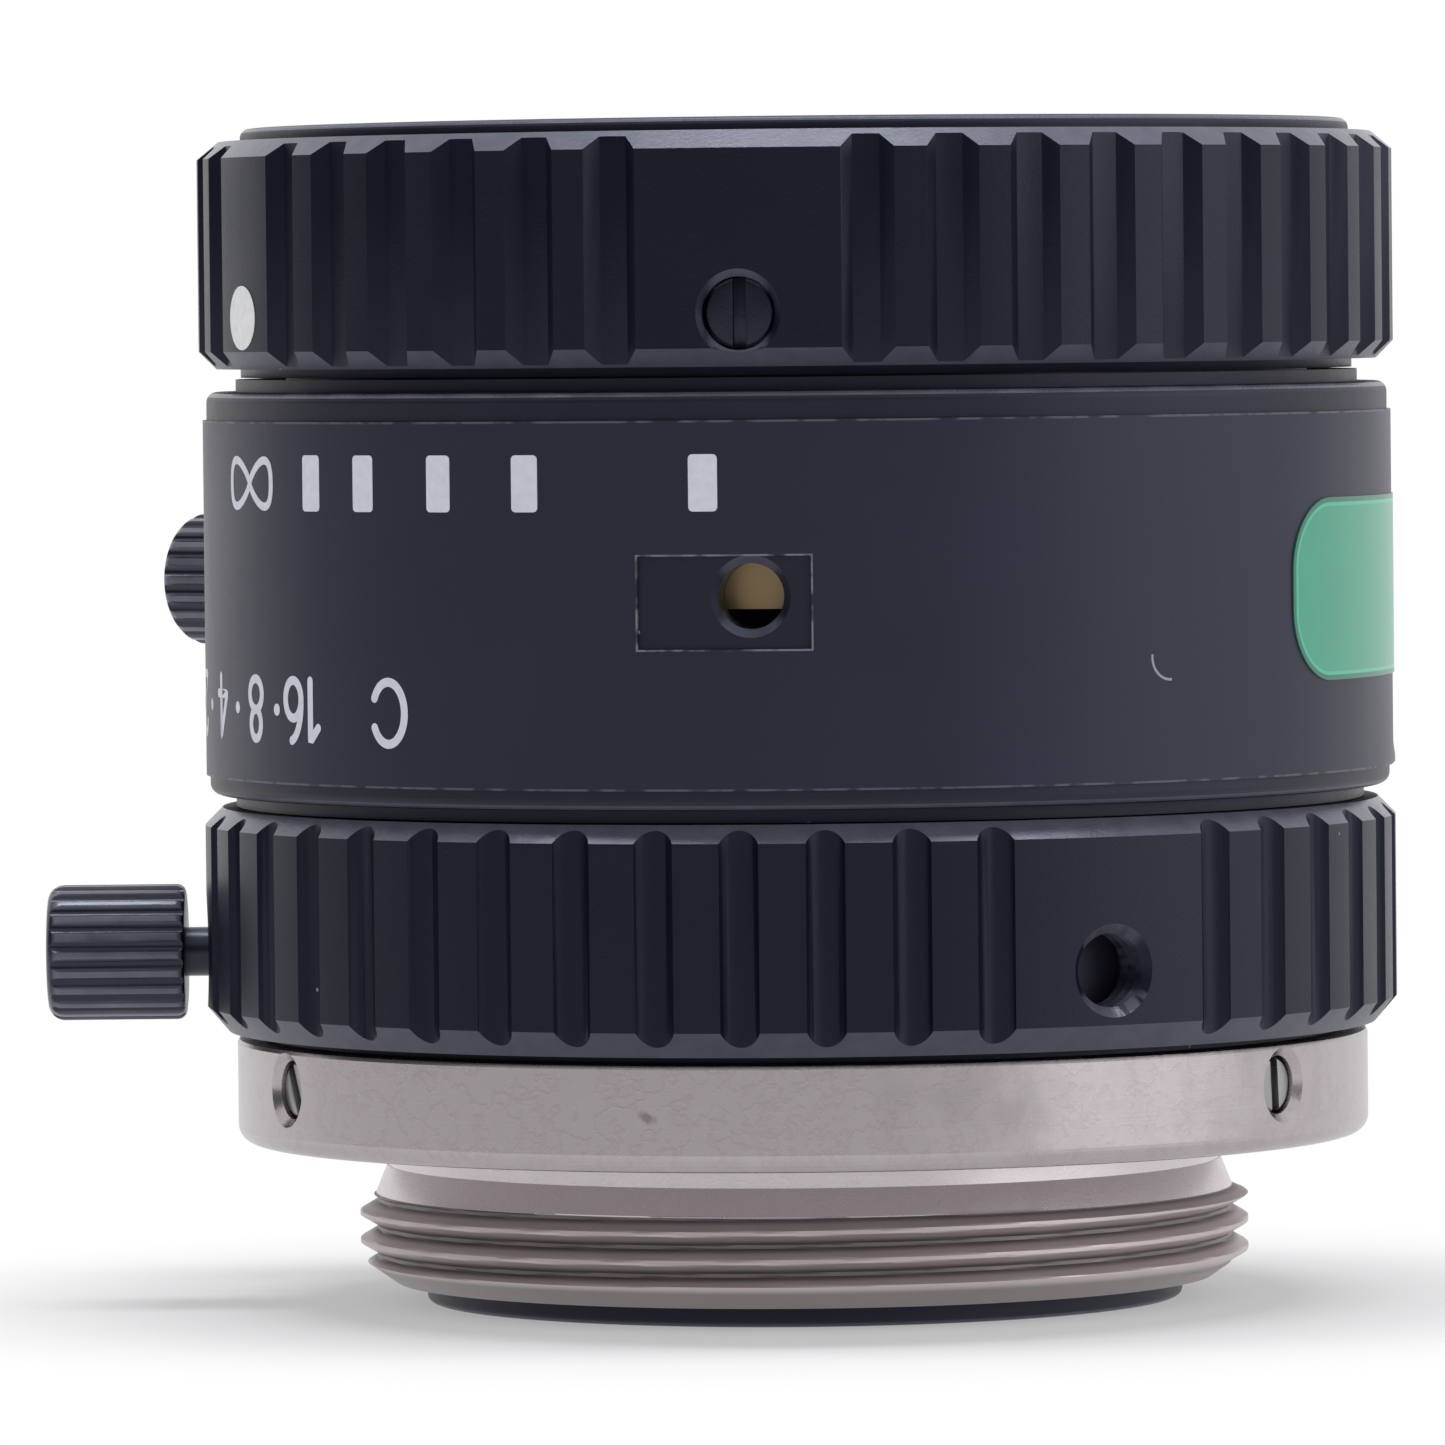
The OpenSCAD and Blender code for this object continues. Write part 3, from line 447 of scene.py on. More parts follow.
class Paint(Nodes):
    """A procedural material on Object coordinates, in millimetres."""

    def __init__(self, name):
        self.material = bpy.data.materials.new(name)
        super().__init__(self.material)
        metres = self.node("ShaderNodeTexCoord", output="Object")
        self.place = self.node(
            "ShaderNodeVectorMath", {"operation": "SCALE"}, {"Vector": metres, "Scale": 1 / MM})
        self.x, self.y, self.z = (
            self.node("ShaderNodeSeparateXYZ", {}, {"Vector": self.place}, axis) for axis in "XYZ")
        self.radius = self.math("SQRT", self.x * self.x + self.y * self.y)
        self.azimuth = self.math("ARCTAN2", self.x, self.y * -1) * (180 / math.pi)
        facing = self.node("ShaderNodeNewGeometry", output="Normal")
        self.normal_z = self.node("ShaderNodeSeparateXYZ", {}, {"Vector": facing}, "Z")

    def clamped(self, value):
        """A value held between 0 and 1."""
        return self.math("ADD", value, 0.0, clamp=True)

    def step(self, value, low, high):
        """A smooth step from 0 at low to 1 at high."""
        return self.node("ShaderNodeMapRange", {"interpolation_type": "SMOOTHSTEP"}, {
            "Value": value, "From Min": low, "From Max": high, "To Min": 0.0, "To Max": 1.0})

    def noise(self, size, detail=2.0, place=None, roughness=0.5):
        """Noise whose lumps are about size millimetres wide."""
        return self.node("ShaderNodeTexNoise", {}, {
            "Vector": place or self.place, "Scale": 1 / size, "Detail": detail, "Roughness": roughness})

    def vector(self, x, y, z):
        """A vector from three values."""
        return self.node("ShaderNodeCombineXYZ", {}, {0: x, 1: y, 2: z})

    def mix(self, factor, first, second):
        """A colour between two."""
        return self.node("ShaderNodeMix", {"data_type": "RGBA"}, {0: factor, 6: first, 7: second}, 2)

    def shades(self, factor, colour, low, high):
        """A colour that varies in brightness between two shares of itself."""
        return self.mix(factor, lighter(colour, low), lighter(colour, high))

    def specks(self, spacing, size, share):
        """Small round specks: one place in each cell of a spacing, kept in a share of the cells."""
        cell = {"Vector": self.place, "Scale": 1 / spacing}
        near = self.node("ShaderNodeTexVoronoi", {}, cell, "Distance") < size / spacing
        chance = self.node(
            "ShaderNodeSeparateColor", {}, {0: self.node("ShaderNodeTexVoronoi", {}, cell, "Color")})
        return near * (chance < share)

    def bump(self, height, depth, strength):
        """A bump node: height from 0 to 1 stands for depth millimetres."""
        return self.node(
            "ShaderNodeBump", {}, {"Height": height, "Distance": depth * MM, "Strength": strength})

    def surface(self, inputs):
        """Ends the material with one Principled shader."""
        return self.shown(self.node("ShaderNodeBsdfPrincipled", {}, inputs))

    def shown(self, shader):
        """Joins a shader to the material's output."""
        self.node("ShaderNodeOutputMaterial", {}, {"Surface": shader})
        return self.material


def rgba(colour):
    """A colour property as the four numbers of a socket."""
    return (*colour, 1.0)


def lighter(colour, factor):
    """A colour scaled in brightness, as a socket's four numbers."""
    return (*(min(1.0, c * factor) for c in colour), 1.0)


def satin_black(name, colour, roughness, grain, dust=0.18, sheen=0.30):
    """Anodised black: fine grain, faint cloudiness, a little dust, and chamfers rubbed smoother and painted
    lighter.
    """
    paint = Paint(name)
    cloud = paint.noise(2.6, 3.0)
    fine = paint.noise(grain, 2.0)
    dusty = paint.clamped(paint.specks(1.5, 0.055, dust) + paint.specks(2.4, 0.065, dust))
    tone = paint.shades(cloud, colour, 0.85, 1.25)
    # Painted highlight: chamfers that face up are painted lighter in patches, and those that face down half
    # as much.
    chamfer, under = (
        paint.step(slope, 0.35, 0.6) * paint.step(slope, 0.95, 0.8)
        for slope in (paint.normal_z, paint.normal_z * -1))
    chamfer_highlight = (chamfer + 0.5 * under) * (0.5 + 0.5 * paint.noise(0.6, 3.0))
    tone = paint.mix(chamfer_highlight, tone, (0.13, 0.135, 0.18, 1))
    return paint.surface({
        "Base Color": paint.mix(dusty, tone, (0.20, 0.205, 0.25, 1)),
        "Roughness": roughness - 0.14 * chamfer + 0.10 * (cloud - 0.5) + 0.12 * (fine - 0.5),
        "Specular IOR Level": sheen,
        "Specular Tint": BLUE_SHEEN,
        "Normal": paint.bump(fine, grain * 0.10, 0.5),
    })


def turned_metal(name, colour, roughness, stain, dark_above=99.0):
    """Metal off the lathe: fine rings from the tool, cloudy handling marks and small stains."""
    paint = Paint(name)
    ring_place = paint.vector(paint.radius * 20, 0.0, paint.z * 20)
    rings = paint.noise(1.0, 3.0, ring_place)
    cloud = paint.noise(1.6, 4.0, roughness=0.6)
    blotch = paint.step(paint.noise(3.5, 3.0), 0.60, 0.72)
    tone = paint.shades(paint.clamped(0.65 * cloud + 0.35 * rings), colour, 0.82, 1.14)
    return paint.surface({
        # The metal is darker above a given height.
        "Base Color": paint.mix(
            paint.clamped(blotch * stain + (paint.z > dark_above)), tone, (0.05, 0.045, 0.04, 1)),
        "Metallic": 1.0,
        "Roughness": roughness + 0.14 * (cloud - 0.5) + 0.08 * (rings - 0.5),
        "Normal": paint.bump(rings, 0.004, 0.35),
    })


# What a user may change

def number(name, description, default, low, high, **kind):
    """A property for one number."""
    return FloatProperty(name=name, description=description, default=default, min=low, max=high, **kind)


def tint(name, description, default):
    """A property for a colour."""
    return FloatVectorProperty(
        name=name, description=description, default=default, subtype="COLOR", min=0, max=1)


class LensSizes(bpy.types.PropertyGroup):
    """Sizes of the turned and cut pieces, in millimetres"""

    deburr: number("Broken edge", "Width of the broken edges of machined pieces", 0.05, 0.01, 0.08)
    flute_r: number(
        "Flute cutter", "Radius of the cutter that makes the iris ring's flutes", 0.6, 0.4, 0.8)
    flute_depth: number("Flute depth", "Depth of the iris ring's flutes", 0.35, 0.2, 0.4)
    groove_w: number(
        "Groove width", "Width of the focus ring's grooves at the surface", 1.5, 1.0, 1.7)
    groove_floor: number(
        "Groove floor", "Width of the focus ring's grooves at the floor", 0.75, 0.4, 0.9)
    groove_depth: number("Groove depth", "Depth of the focus ring's grooves", 0.42, 0.2, 0.5)
    thread_pitch: number("Mount thread pitch", "One thirty-second of an inch", 0.79375, 0.5, 1.0)
    thread_depth: number("Mount thread depth", "From crest to root", 0.48, 0.2, 0.6)
    knurl: IntProperty(
        name="Screw flutes", description="Flutes round a lock screw's grip", default=22, min=12, max=28)
    print_h: number("Numeral height", "Height of the aperture numerals", 1.95, 1.0, 3.0)


class LensFinish(bpy.types.PropertyGroup):
    """Colours of the finishes, in linear light"""

    barrel: tint("Barrel", "Anodised black of the barrel", (0.012, 0.0115, 0.020))
    grip: tint("Grips", "Black of the two grip rings", (0.0030, 0.0034, 0.0105))
    film: tint("Scale film", "Black of the printed film", (0.017, 0.017, 0.031))
    ink: tint("Print", "White of the printed marks", (0.72, 0.72, 0.80))
    label: tint("Label", "Green of the side label", (0.035, 0.32, 0.20))
    nickel: tint("Flange", "Satin nickel of the mount", (0.42, 0.385, 0.395))
    thread: tint("Mount thread", "Bare metal of the mount thread", (0.46, 0.40, 0.395))
    brass: tint("Brass", "Brass of the focus sleeve", (0.29, 0.21, 0.115))
    coating: tint("Coating", "Colour that the coated glasses reflect", (0.30, 0.36, 0.75))


class LensStudio(bpy.types.PropertyGroup):
    """Camera and light"""

    distance: number("Distance", "From the optical axis to the camera", 0.343, 0.1, 2.0, unit="LENGTH")
    eye: number("Camera height", "Above the flange seat", 0.0236, -0.1, 0.5, unit="LENGTH")
    focal: number("Focal length", "Of the camera's lens, in millimetres", 299.0, 50, 600)
    roll: FloatProperty(
        name="Roll", description="Of the camera about its line of sight",
        default=math.radians(-0.585), subtype="ANGLE", unit="ROTATION")
    key: number("Overhead light", "Power of the softbox above", 1.9, 0, 50, unit="POWER")
    side: number("Side light", "Power of the softbox on the right", 1.5, 0, 50, unit="POWER")
    card: number("Front card", "Brightness of the grey card that the front reflects", 0.22, 0, 1)
    fill: number("Room light", "Strength of the world's light", 0.45, 0, 2)


# Pieces

class MountRing(bpy.types.Operator):
    """Turn the mount's flange and cut its thread and screw holes"""

    bl_idname = "lens.mount_ring"
    bl_label = "Mount ring"

    def execute(self, context):
        sizes = context.scene.lens_sizes
        crest, foot, neck = 12.7, -4.05, -0.7
        outline = [
            (10.6, 0.65), (10.6, -2.45), (11.22, -2.45), (11.22, foot), (crest, foot), (crest, neck),
            (11.9, neck), (11.9, -0.06), (11.96, 0.0),
            *rounded((15.65, 0.5), 0.5, -90, 0, 8),
            (16.15, 2.85), (16.10, 2.95), (16.0, 3.0), (14.42, 3.0), (14.42, 0.65)]
        ring = turned("mount_ring_turned", outline, 480)
        hole = sunk_pin(0.82, 13.4, 15.92, 1.22, 16.3, 17.2)
        carved(ring, repeated(hole, SET_SCREW_AZIMUTHS, SET_SCREW_Z))

        def form(turn, z):
            phase = np.mod((z + 0.49) / sizes.thread_pitch - turn, 1.0)
            from_crest = abs(phase - 0.5) * 2
            flank = np.clip((from_crest - 0.16) / 0.70, 0, 1)
            radius = crest - sizes.thread_depth * flank
            end_chamfer = crest - 1.0 + (z - foot) / 0.7
            depth = neck - z
            run_out = 11.92 + 0.4 * depth + 2.0 * np.maximum(depth - 0.85, 0)
            return np.minimum(radius, np.minimum(end_chamfer, run_out))

        threaded(ring, crest, foot, neck, 96, form)
        finished(
            ring, mount_metal(context), "satin_nickel", "barrel", "mount_ring", angle=30, outer_r=FLANGE_R)
        return {"FINISHED"}


class MountScrews(bpy.types.Operator):
    """Make the three slotted set screws in the mount's flange"""

    bl_idname = "lens.mount_screws"
    bl_label = "Mount set screws"

    def execute(self, context):
        pieces = []
        for azimuth, turn in zip(SET_SCREW_AZIMUTHS, (28, 4, 60)):
            screw = slotted_screw(0.78, 14.45, 15.85)
            screw.data.transform(Matrix.Rotation(math.radians(turn), 4, "X"))
            pieces.append(aimed(screw, azimuth, SET_SCREW_Z))
        screws = joined("mount_set_screws_slotted", pieces)
        finished(screws, screw_metal(), "screw_steel", "barrel", "mount_set_screws")
        return {"FINISHED"}


class RearBaffle(bpy.types.Operator):
    """Turn the black baffle that the lens stands on"""

    bl_idname = "lens.rear_baffle"
    bl_label = "Rear baffle"

    def execute(self, context):
        grooves = []
        for i in range(3):
            z = -4.55 + i * 0.16
            grooves += [(8.37, z), (8.47, z + 0.08)]
        outline = [
            (9.57, -2.45), (9.57, -4.05), (8.37, -4.05), *reversed(grooves), (8.45, -4.65),
            *rounded((10.6, -4.45), 0.2, -90, 0), (10.8, -4.05), (11.2, -4.05), (11.2, -2.45)]
        baffle = turned("rear_baffle_turned", outline)
        material = satin_black("black baffle", context.scene.lens_finish.barrel, 0.5, 0.12)
        finished(baffle, material, "black_anodised", "barrel", "rear_baffle")
        return {"FINISHED"}


class Barrel(bpy.types.Operator):
    """Turn the main barrel and drill its lock holes, key hole and slot"""

    bl_idname = "lens.barrel"
    bl_label = "Main barrel"

    def execute(self, context):
        edge = BARREL_R - 0.3
        outline = [
            (13.2, 0.65), (14.4, 0.65), (14.4, 3.0), (15.4, 3.0), (15.4, 9.6), (16.1, 9.6), (16.1, 9.95),
            *rounded((edge, 10.25), 0.3, -90, 0), *rounded((edge, 21.1), 0.3, 0, 90),
            (16.0, 21.4), (16.0, 21.75), (15.49, 21.75), (15.49, 20.72), (15.22, 20.72),
            (15.22, 20.06), (14.65, 20.06), (14.65, 14.7), (13.2, 14.7)]
        barrel = turned("main_barrel_turned", outline, 720)
        wall, slot_ends, key_azimuth = (12.6, 16.4), (150.26, 197.66), 330.26
        cutters = repeated(sunk_pin(0.9, 13.2, 16.6, 1.28, 17.0, 18.0), LOCK_AZIMUTHS, LOCK_Z)
        cutters += repeated(pin(0.8, *wall), slot_ends, IRIS_HOLE_Z)
        cutters += repeated(pin(0.72, *wall), (key_azimuth,), IRIS_HOLE_Z)
        carved(barrel, cutters)
        carved(barrel, [turned("slot", oblong(*wall, 4.62, 6.18), 48, *slot_ends)])
        finish = context.scene.lens_finish
        finished(barrel, satin_black("anodised barrel", finish.barrel, 0.42, 0.10), "black_anodised",
                 "barrel", "main_barrel", angle=30, outer_r=BARREL_R)
        return {"FINISHED"}


class ScaleFilm(bpy.types.Operator):
    """Wrap the printed film round the barrel, with its windows and lifted corner"""

    bl_idname = "lens.scale_film"
    bl_label = "Scale film"

    def execute(self, context):
        low, high = FILM_Z
        film = turned(
            "scale_film", oblong(BARREL_R, FILM_R, low, high), 720, SEAM_AZIMUTH + 0.2, SEAM_AZIMUTH + 359.8)
        carved(film, [
            turned("window", oblong(16.0, 17.5, *WINDOW_Z), 24, *(azimuth + side for side in WINDOW_SPREAD))
            for azimuth in LOCK_AZIMUTHS])
        sliced(film, (0, 0, 1), np.arange(low + 0.12, low + 1.3, 0.12))
        places = points_of(film)
        azimuth = np.degrees(np.arctan2(places[:, 0], -places[:, 1]))
        to_seam = SEAM_AZIMUTH - 0.2 - azimuth
        along = np.clip(1 - to_seam / 4.0, 0, 1) * (to_seam > -0.1)
        upwards = np.clip(1 - (places[:, 2] - low - 0.2) / 0.9, 0, 1)
        lift = 1 + 0.085 * (along * upwards) ** 1.6 / FILM_R
        places[:, 0] *= lift
        places[:, 1] *= lift
        move_points(film, places)
        finished(film, film_finish(context), "scale_film", "barrel", "scale_band", angle=30, outer_r=FILM_R)
        return {"FINISHED"}


class ScalePrint(bpy.types.Operator):
    """Print the focus marks and the aperture numerals on the film"""

    bl_idname = "lens.scale_print"
    bl_label = "Scale print"

    def execute(self, context):
        height = context.scene.lens_sizes.print_h
        pieces = [printed_stroke(infinity(3.0, 1.52, 0.23), 0.23, True, -64.6, FOCUS_MARKS_Z - 0.02)]
        for azimuth in (-52.7, -45.0, -35.55, -26.1, -8.72):
            pieces.append(printed_bar(0.8, 1.56, azimuth, FOCUS_MARKS_Z))
        for glyph, azimuth in (
                ("C", -41.9), ("1", -52.9), ("6", -56.1), ("8", -63.7), ("4", -73.4), ("2", -83.4),
                ("1", -91.4), ("4", -95.4)):
            for path, closed in GLYPHS[glyph]:
                path = [(-x * height, -y * height) for x, y in path]
                pieces.append(printed_stroke(path, 0.25, closed, azimuth, NUMERALS_Z))
        for azimuth in (-59.2, -68.4, -78.6, -87.6):
            pieces.append(printed_dot(0.17, azimuth, NUMERALS_Z, FILM_R))
        pieces.append(printed_dot(0.12, -93.2, 13.4, FILM_R))
        marks = joined("scale_print", pieces)
        ink = print_finish("white print", context.scene.lens_finish.ink)
        finished(marks, ink, "scale_film", "barrel", angle=30)
        return {"FINISHED"}


class SideLabel(bpy.types.Operator):
    """Cut the bare green label and lay it over the film's seam"""

    bl_idname = "lens.side_label"
    bl_label = "Side label"

    def execute(self, context):
        outline = round_cornered(LABEL_HALF_W, LABEL_HALF_H, LABEL_CORNER, 12)
        label = strips(raised(plate("side_label_wrapped", outline), 0.045), 0.3)
        wrapped(label, FILM_R + 0.003, SEAM_AZIMUTH, LABEL_Z)
        mend(label)
        finished(label, label_finish(context), "green_label", "barrel", "side_label", angle=30)
        return {"FINISHED"}


class IrisRing(bpy.types.Operator):
    """Turn the iris ring, mill its flutes and tap its holes"""

    bl_idname = "lens.iris_ring"
    bl_label = "Iris ring"

    def execute(self, context):
        sizes = context.scene.lens_sizes
        outline = [(15.45, 3.2), (16.4, 3.2), (17.0, 3.9), (17.0, 9.07), (16.5, 9.57), (15.45, 9.57)]
        ring = turned("iris_ring_fluted", outline, 720)
        deselect()
        bpy.ops.mesh.primitive_cylinder_add(
            vertices=40, radius=sizes.flute_r, depth=9,
            location=(IRIS_R - sizes.flute_depth + sizes.flute_r, 0, 6.4))
        cutter = started("flute")
        bpy.ops.object.transform_apply(location=True)
        carved(ring, repeated(cutter, pitched(IRIS_HOLE_AZIMUTHS)))
        tap = tapped_cutter(1.0, 0.4, 14.9, IRIS_R, 0.32)
        carved(ring, repeated(tap, IRIS_HOLE_AZIMUTHS, IRIS_HOLE_Z))
        spot = pin(2.0, 16.75, 18, 96)
        carved(ring, repeated(spot, (IRIS_HOLE_AZIMUTHS[1],), IRIS_HOLE_Z))
        softened(ring, sizes.deburr)
        finished(
            ring, grip_finish(context), "black_grip", "iris_grip", "iris_ring", angle=30, outer_r=IRIS_R)
        return {"FINISHED"}


class FocusRing(bpy.types.Operator):
    """Turn the focus ring, mill its grooves, drill it and dot it"""

    bl_idname = "lens.focus_ring"
    bl_label = "Focus ring"

    def execute(self, context):
        sizes = context.scene.lens_sizes
        outline = [
            (14.59, 21.8), (15.85, 21.8), (15.85, 22.05), (16.54, 22.05), (17.04, 22.55), (17.04, 28.0),
            (16.44, 28.5), (15.9, 28.5), (15.9, 25.2), (14.59, 25.2)]
        ring = turned("focus_ring_grooved", outline, 720)
        floor_r = FOCUS_R - sizes.groove_depth
        top_r = floor_r + 2 * sizes.groove_depth
        half_floor = sizes.groove_floor / 2
        half_top = half_floor + (sizes.groove_w - sizes.groove_floor)
        cutter = plate("groove", [
            (floor_r, -half_floor), (top_r, -half_top), (top_r, half_top), (floor_r, half_floor)])
        raised(cutter, 9)
        azimuths = [a for a in pitched(FOCUS_SCREW_AZIMUTHS) if apart(a, FOCUS_DOT_AZIMUTH) > 3.9]
        carved(ring, repeated(cutter, azimuths, 20.8))
        hole = sunk_pin(1.0, 14, 16.86, 1.26, 17.08, 18, 64)
        carved(ring, repeated(hole, FOCUS_SCREW_AZIMUTHS, FOCUS_SCREW_Z))
        softened(ring, sizes.deburr)
        finished(
            ring, grip_finish(context), "black_grip", "focus_grip", "focus_ring", angle=30, outer_r=FOCUS_R)
        dot = printed_dot(0.9, FOCUS_DOT_AZIMUTH, FOCUS_SCREW_Z, FOCUS_R)
        dot.name = "focus_index_dot"
        finished(dot, print_finish("white index paint", (0.85, 0.85, 0.86)), "scale_film", "focus_grip")
        return {"FINISHED"}


class FocusScrews(bpy.types.Operator):
    """Make the three slotted screws that clamp the focus ring to its sleeve"""

    bl_idname = "lens.focus_screws"
    bl_label = "Focus set screws"

    def execute(self, context):
        screw = slotted_screw(0.97, 14.6, 16.58)
        screws = joined("focus_set_screws_slotted", repeated(screw, FOCUS_SCREW_AZIMUTHS, FOCUS_SCREW_Z))
        finished(screws, black_screw_finish(context), "black_screw", "focus_grip", "focus_set_screws")
        return {"FINISHED"}


class LockScrews(bpy.types.Operator):
    """Make the two knurled lock screws"""

    bl_idname = "lens.lock_screws"
    bl_label = "Lock screws"

    def execute(self, context):
        for name, azimuth, height, tip, shank_r, neck, body, node in (
                ("iris_lock_screw_knurled", IRIS_HOLE_AZIMUTHS[1], IRIS_HOLE_Z, 15.5, 0.97, 16.45,
                 "iris_lock", "iris_lock_screw"),
                ("focus_lock_screw_knurled", LOCK_AZIMUTHS[0], LOCK_Z, 14.67, 0.87, 16.44,
                 "focus_lock", "focus_lock_screw")):
            grip_r, start, end = 1.935, 17.6, 21.58
            outline = [
                (0, tip), (shank_r - 0.12, tip), (shank_r, tip + 0.12), (shank_r, neck), (0.7, neck),
                (0.7, start), *rounded((grip_r - 0.25, start + 0.25), 0.25, -90, 0),
                *rounded((grip_r - 0.45, end - 0.49), 0.45, 0, 90), (grip_r * 0.5, end - 0.01), (0, end)]
            screw = rod(name, outline, 120)
            knurl = pin(0.2, start - 1, end + 1, 20)
            count = context.scene.lens_sizes.knurl
            cutters = []
            for i in range(count):
                cutter = copy_of(knurl)
                cutter.data.transform(Matrix.Translation((0, 0, grip_r + 0.06)))
                cutter.data.transform(Matrix.Rotation(2 * math.pi * i / count, 4, "X"))
                cutters.append(cutter)
            bpy.data.objects.remove(knurl)
            carved(screw, cutters)
            softened(screw, 0.035)
            aimed(screw, azimuth, height)
            colour_name = name.split("_screw")[0] + " screw black"
            material = knurled_finish(context, colour_name, azimuth, height, grip_r)
            finished(screw, material, "black_screw", body, node, angle=30)
        return {"FINISHED"}


class FrontBarrel(bpy.types.Operator):
    """Turn the front rim and cut its filter thread"""

    bl_idname = "lens.front_barrel"
    bl_label = "Front rim"

    def execute(self, context):
        bore, low, high = 14.98, 26.9, 28.67
        outline = [
            (12.27, 24.2), (13.15, 24.2), (13.15, 25.4), (15.8, 25.4), *rounded((15.55, 28.62), 0.25, 0, 90),
            (15.18, 28.87), (bore, high), (bore, low), (15.23, low), (15.23, 26.2), (12.27, 26.2)]
        rim = turned("front_barrel_turned", outline, 540)

        def form(turn, z):
            phase = np.mod(z / 0.5 - turn, 1.0)
            return bore + 0.25 * np.clip((abs(phase - 0.5) * 2 - 0.12) / 0.7, 0, 1)

        threaded(rim, bore, low, high, 42, form)
        finish = context.scene.lens_finish
        finished(rim, satin_black("anodised rim", finish.barrel, 0.42, 0.10), "black_anodised",
                 "optical_cell", "front_barrel", angle=30, outer_r=RIM_R)
        return {"FINISHED"}


class NameRing(bpy.types.Operator):
    """Turn the bare ring round the front glass"""

    bl_idname = "lens.name_ring"
    bl_label = "Front ring"

    def execute(self, context):
        steps = []
        for i in range(5):
            r, z = 9.38 + 0.18 * i, 26.06 + 0.144 * i
            steps += [(r, z), (r + 0.02, z + 0.12)]
        outline = [(9.3, 24.55), (10.3, 24.55), (10.3, 26.2), (14.96, 26.2), (14.96, 26.74), (14.9, 26.8),
                   (10.4, 26.8), *reversed(steps), (9.3, 26.0)]
        ring = turned("name_ring_turned", outline, 360)
        notch = plate("notch", oblong(13.18, 15.3, -0.6, 0.6))
        raised(notch, 1)
        carved(ring, repeated(notch, (90, 270), 26.4))
        softened(ring, 0.04)
        material = satin_black("front ring black", context.scene.lens_finish.barrel, 0.48, 0.10)
        finished(ring, material, "black_anodised", "optical_cell", "name_ring", angle=30)
        return {"FINISHED"}


class FrontGlass(bpy.types.Operator):
    """Grind the front glass"""

    bl_idname = "lens.front_glass"
    bl_label = "Front glass"

    def execute(self, context):
        clear = 8.9
        top = dome(clear, 24.55, 50, 24)
        bottom = dome(clear, 21.05, 14, 24)
        outline = [(10.4, 21.05), (10.4, 24.55), *top, *reversed(bottom)]
        glass = turned("front_glass", outline, 180)
        finished(glass, glass_finish(context), "coated_glass", "optical_cell", "lens_1", angle=25)
        return {"FINISHED"}


class InnerFinishes(bpy.types.Operator):
    """Give the CAD pieces that stay their finishes"""

    bl_idname = "lens.inner_finishes"
    bl_label = "Inner finishes"

    def execute(self, context):
        finish = context.scene.lens_finish
        black = satin_black("inner black", finish.barrel, 0.55, 0.12, dust=0.03)
        brass = turned_metal("turned brass", finish.brass, 0.30, stain=0.15, dark_above=19.0)
        steel = screw_metal()
        blades = blade_finish()
        glass = glass_finish(context)
        finishes = {
            "helicoid_sleeve": brass, "cam_ring": brass, "guide_key": steel, "iris_drive_pin": steel,
            "pivot_plate": blades}
        finishes.update({f"blade_{i}": blades for i in range(1, 7)})
        finishes.update({f"lens_{i}": glass for i in range(2, 7)})
        for name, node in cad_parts.items():
            material = finishes.get(name, black)
            node.data.materials.clear()
            node.data.materials.append(material)
        return {"FINISHED"}


class Stage(bpy.types.Operator):
    """Lay the pale floor, hang the softboxes and set the camera"""

    bl_idname = "lens.stage"
    bl_label = "Studio"

    def execute(self, context):
        studio = context.scene.lens_studio
        scene = context.scene
        floor_z = CAD_BOX[0][2] - 0.00001
        deselect()
        bpy.ops.mesh.primitive_plane_add(size=3.0, location=(0, 0, floor_z))
        floor = started("studio_floor")
        bpy.ops.object.transform_apply(location=True)
        with editing(floor):
            bpy.ops.mesh.subdivide(number_cuts=8)
        floor.data.materials.append(floor_finish())
        set_world(scene, studio.fill)
        softbox("overhead_softbox", (0, 0.03, 0.5), (0, 0.03, 0), 0.5, 0.1, studio.key)
        softbox("right_softbox", (0.66, -0.22, 0.12), (0, 0, 0.012), 0.6, 0.6, studio.side)
        front_card(studio.card)
        deselect()
        bpy.ops.object.camera_add(location=(0, -studio.distance, studio.eye))
        camera = started("photo_camera")
        aim = Vector((-0.0022, 0, 0.0118)) - camera.location
        turn = aim.to_track_quat("-Z", "Y") @ Quaternion((0, 0, 1), studio.roll)
        camera.rotation_euler = turn.to_euler()
        camera.data.lens = studio.focal
        camera.data.sensor_width = 36
        camera.data.clip_start = 0.01
        camera.data.clip_end = 10
        scene.camera = camera
        scene.view_settings.view_transform = "Standard"
        return {"FINISHED"}


# Helpers of the pieces

def apart(a, b):
    """The angle between two azimuths."""
    return abs((a - b + 540) % 360 - 180)


def pitched(holes):
    """Azimuths of a grip ring's cuts, one to each pitch apart from those beside a hole."""
    first = holes[0] + GRIP_PITCH / 2
    azimuths = [first + i * GRIP_PITCH for i in range(round(360 / GRIP_PITCH))]
    return [a for a in azimuths if min(apart(a, b) for b in holes) > GRIP_PITCH]


def raised(obj, height):
    """Gives a flat face a thickness upwards."""
    with editing(obj):
        bpy.ops.mesh.extrude_region_move(TRANSFORM_OT_translate={"value": (0, 0, height)})
    return mend(obj)


def dome(clear, z, radius, steps):
    """Points of a curved glass face that rises to the axis, from its edge inwards."""
    rise = math.sqrt(radius ** 2 - clear ** 2)
    radii = [clear * (1 - i / steps) for i in range(steps + 1)]
    return [(r, z + math.sqrt(radius ** 2 - r ** 2) - rise) for r in radii]


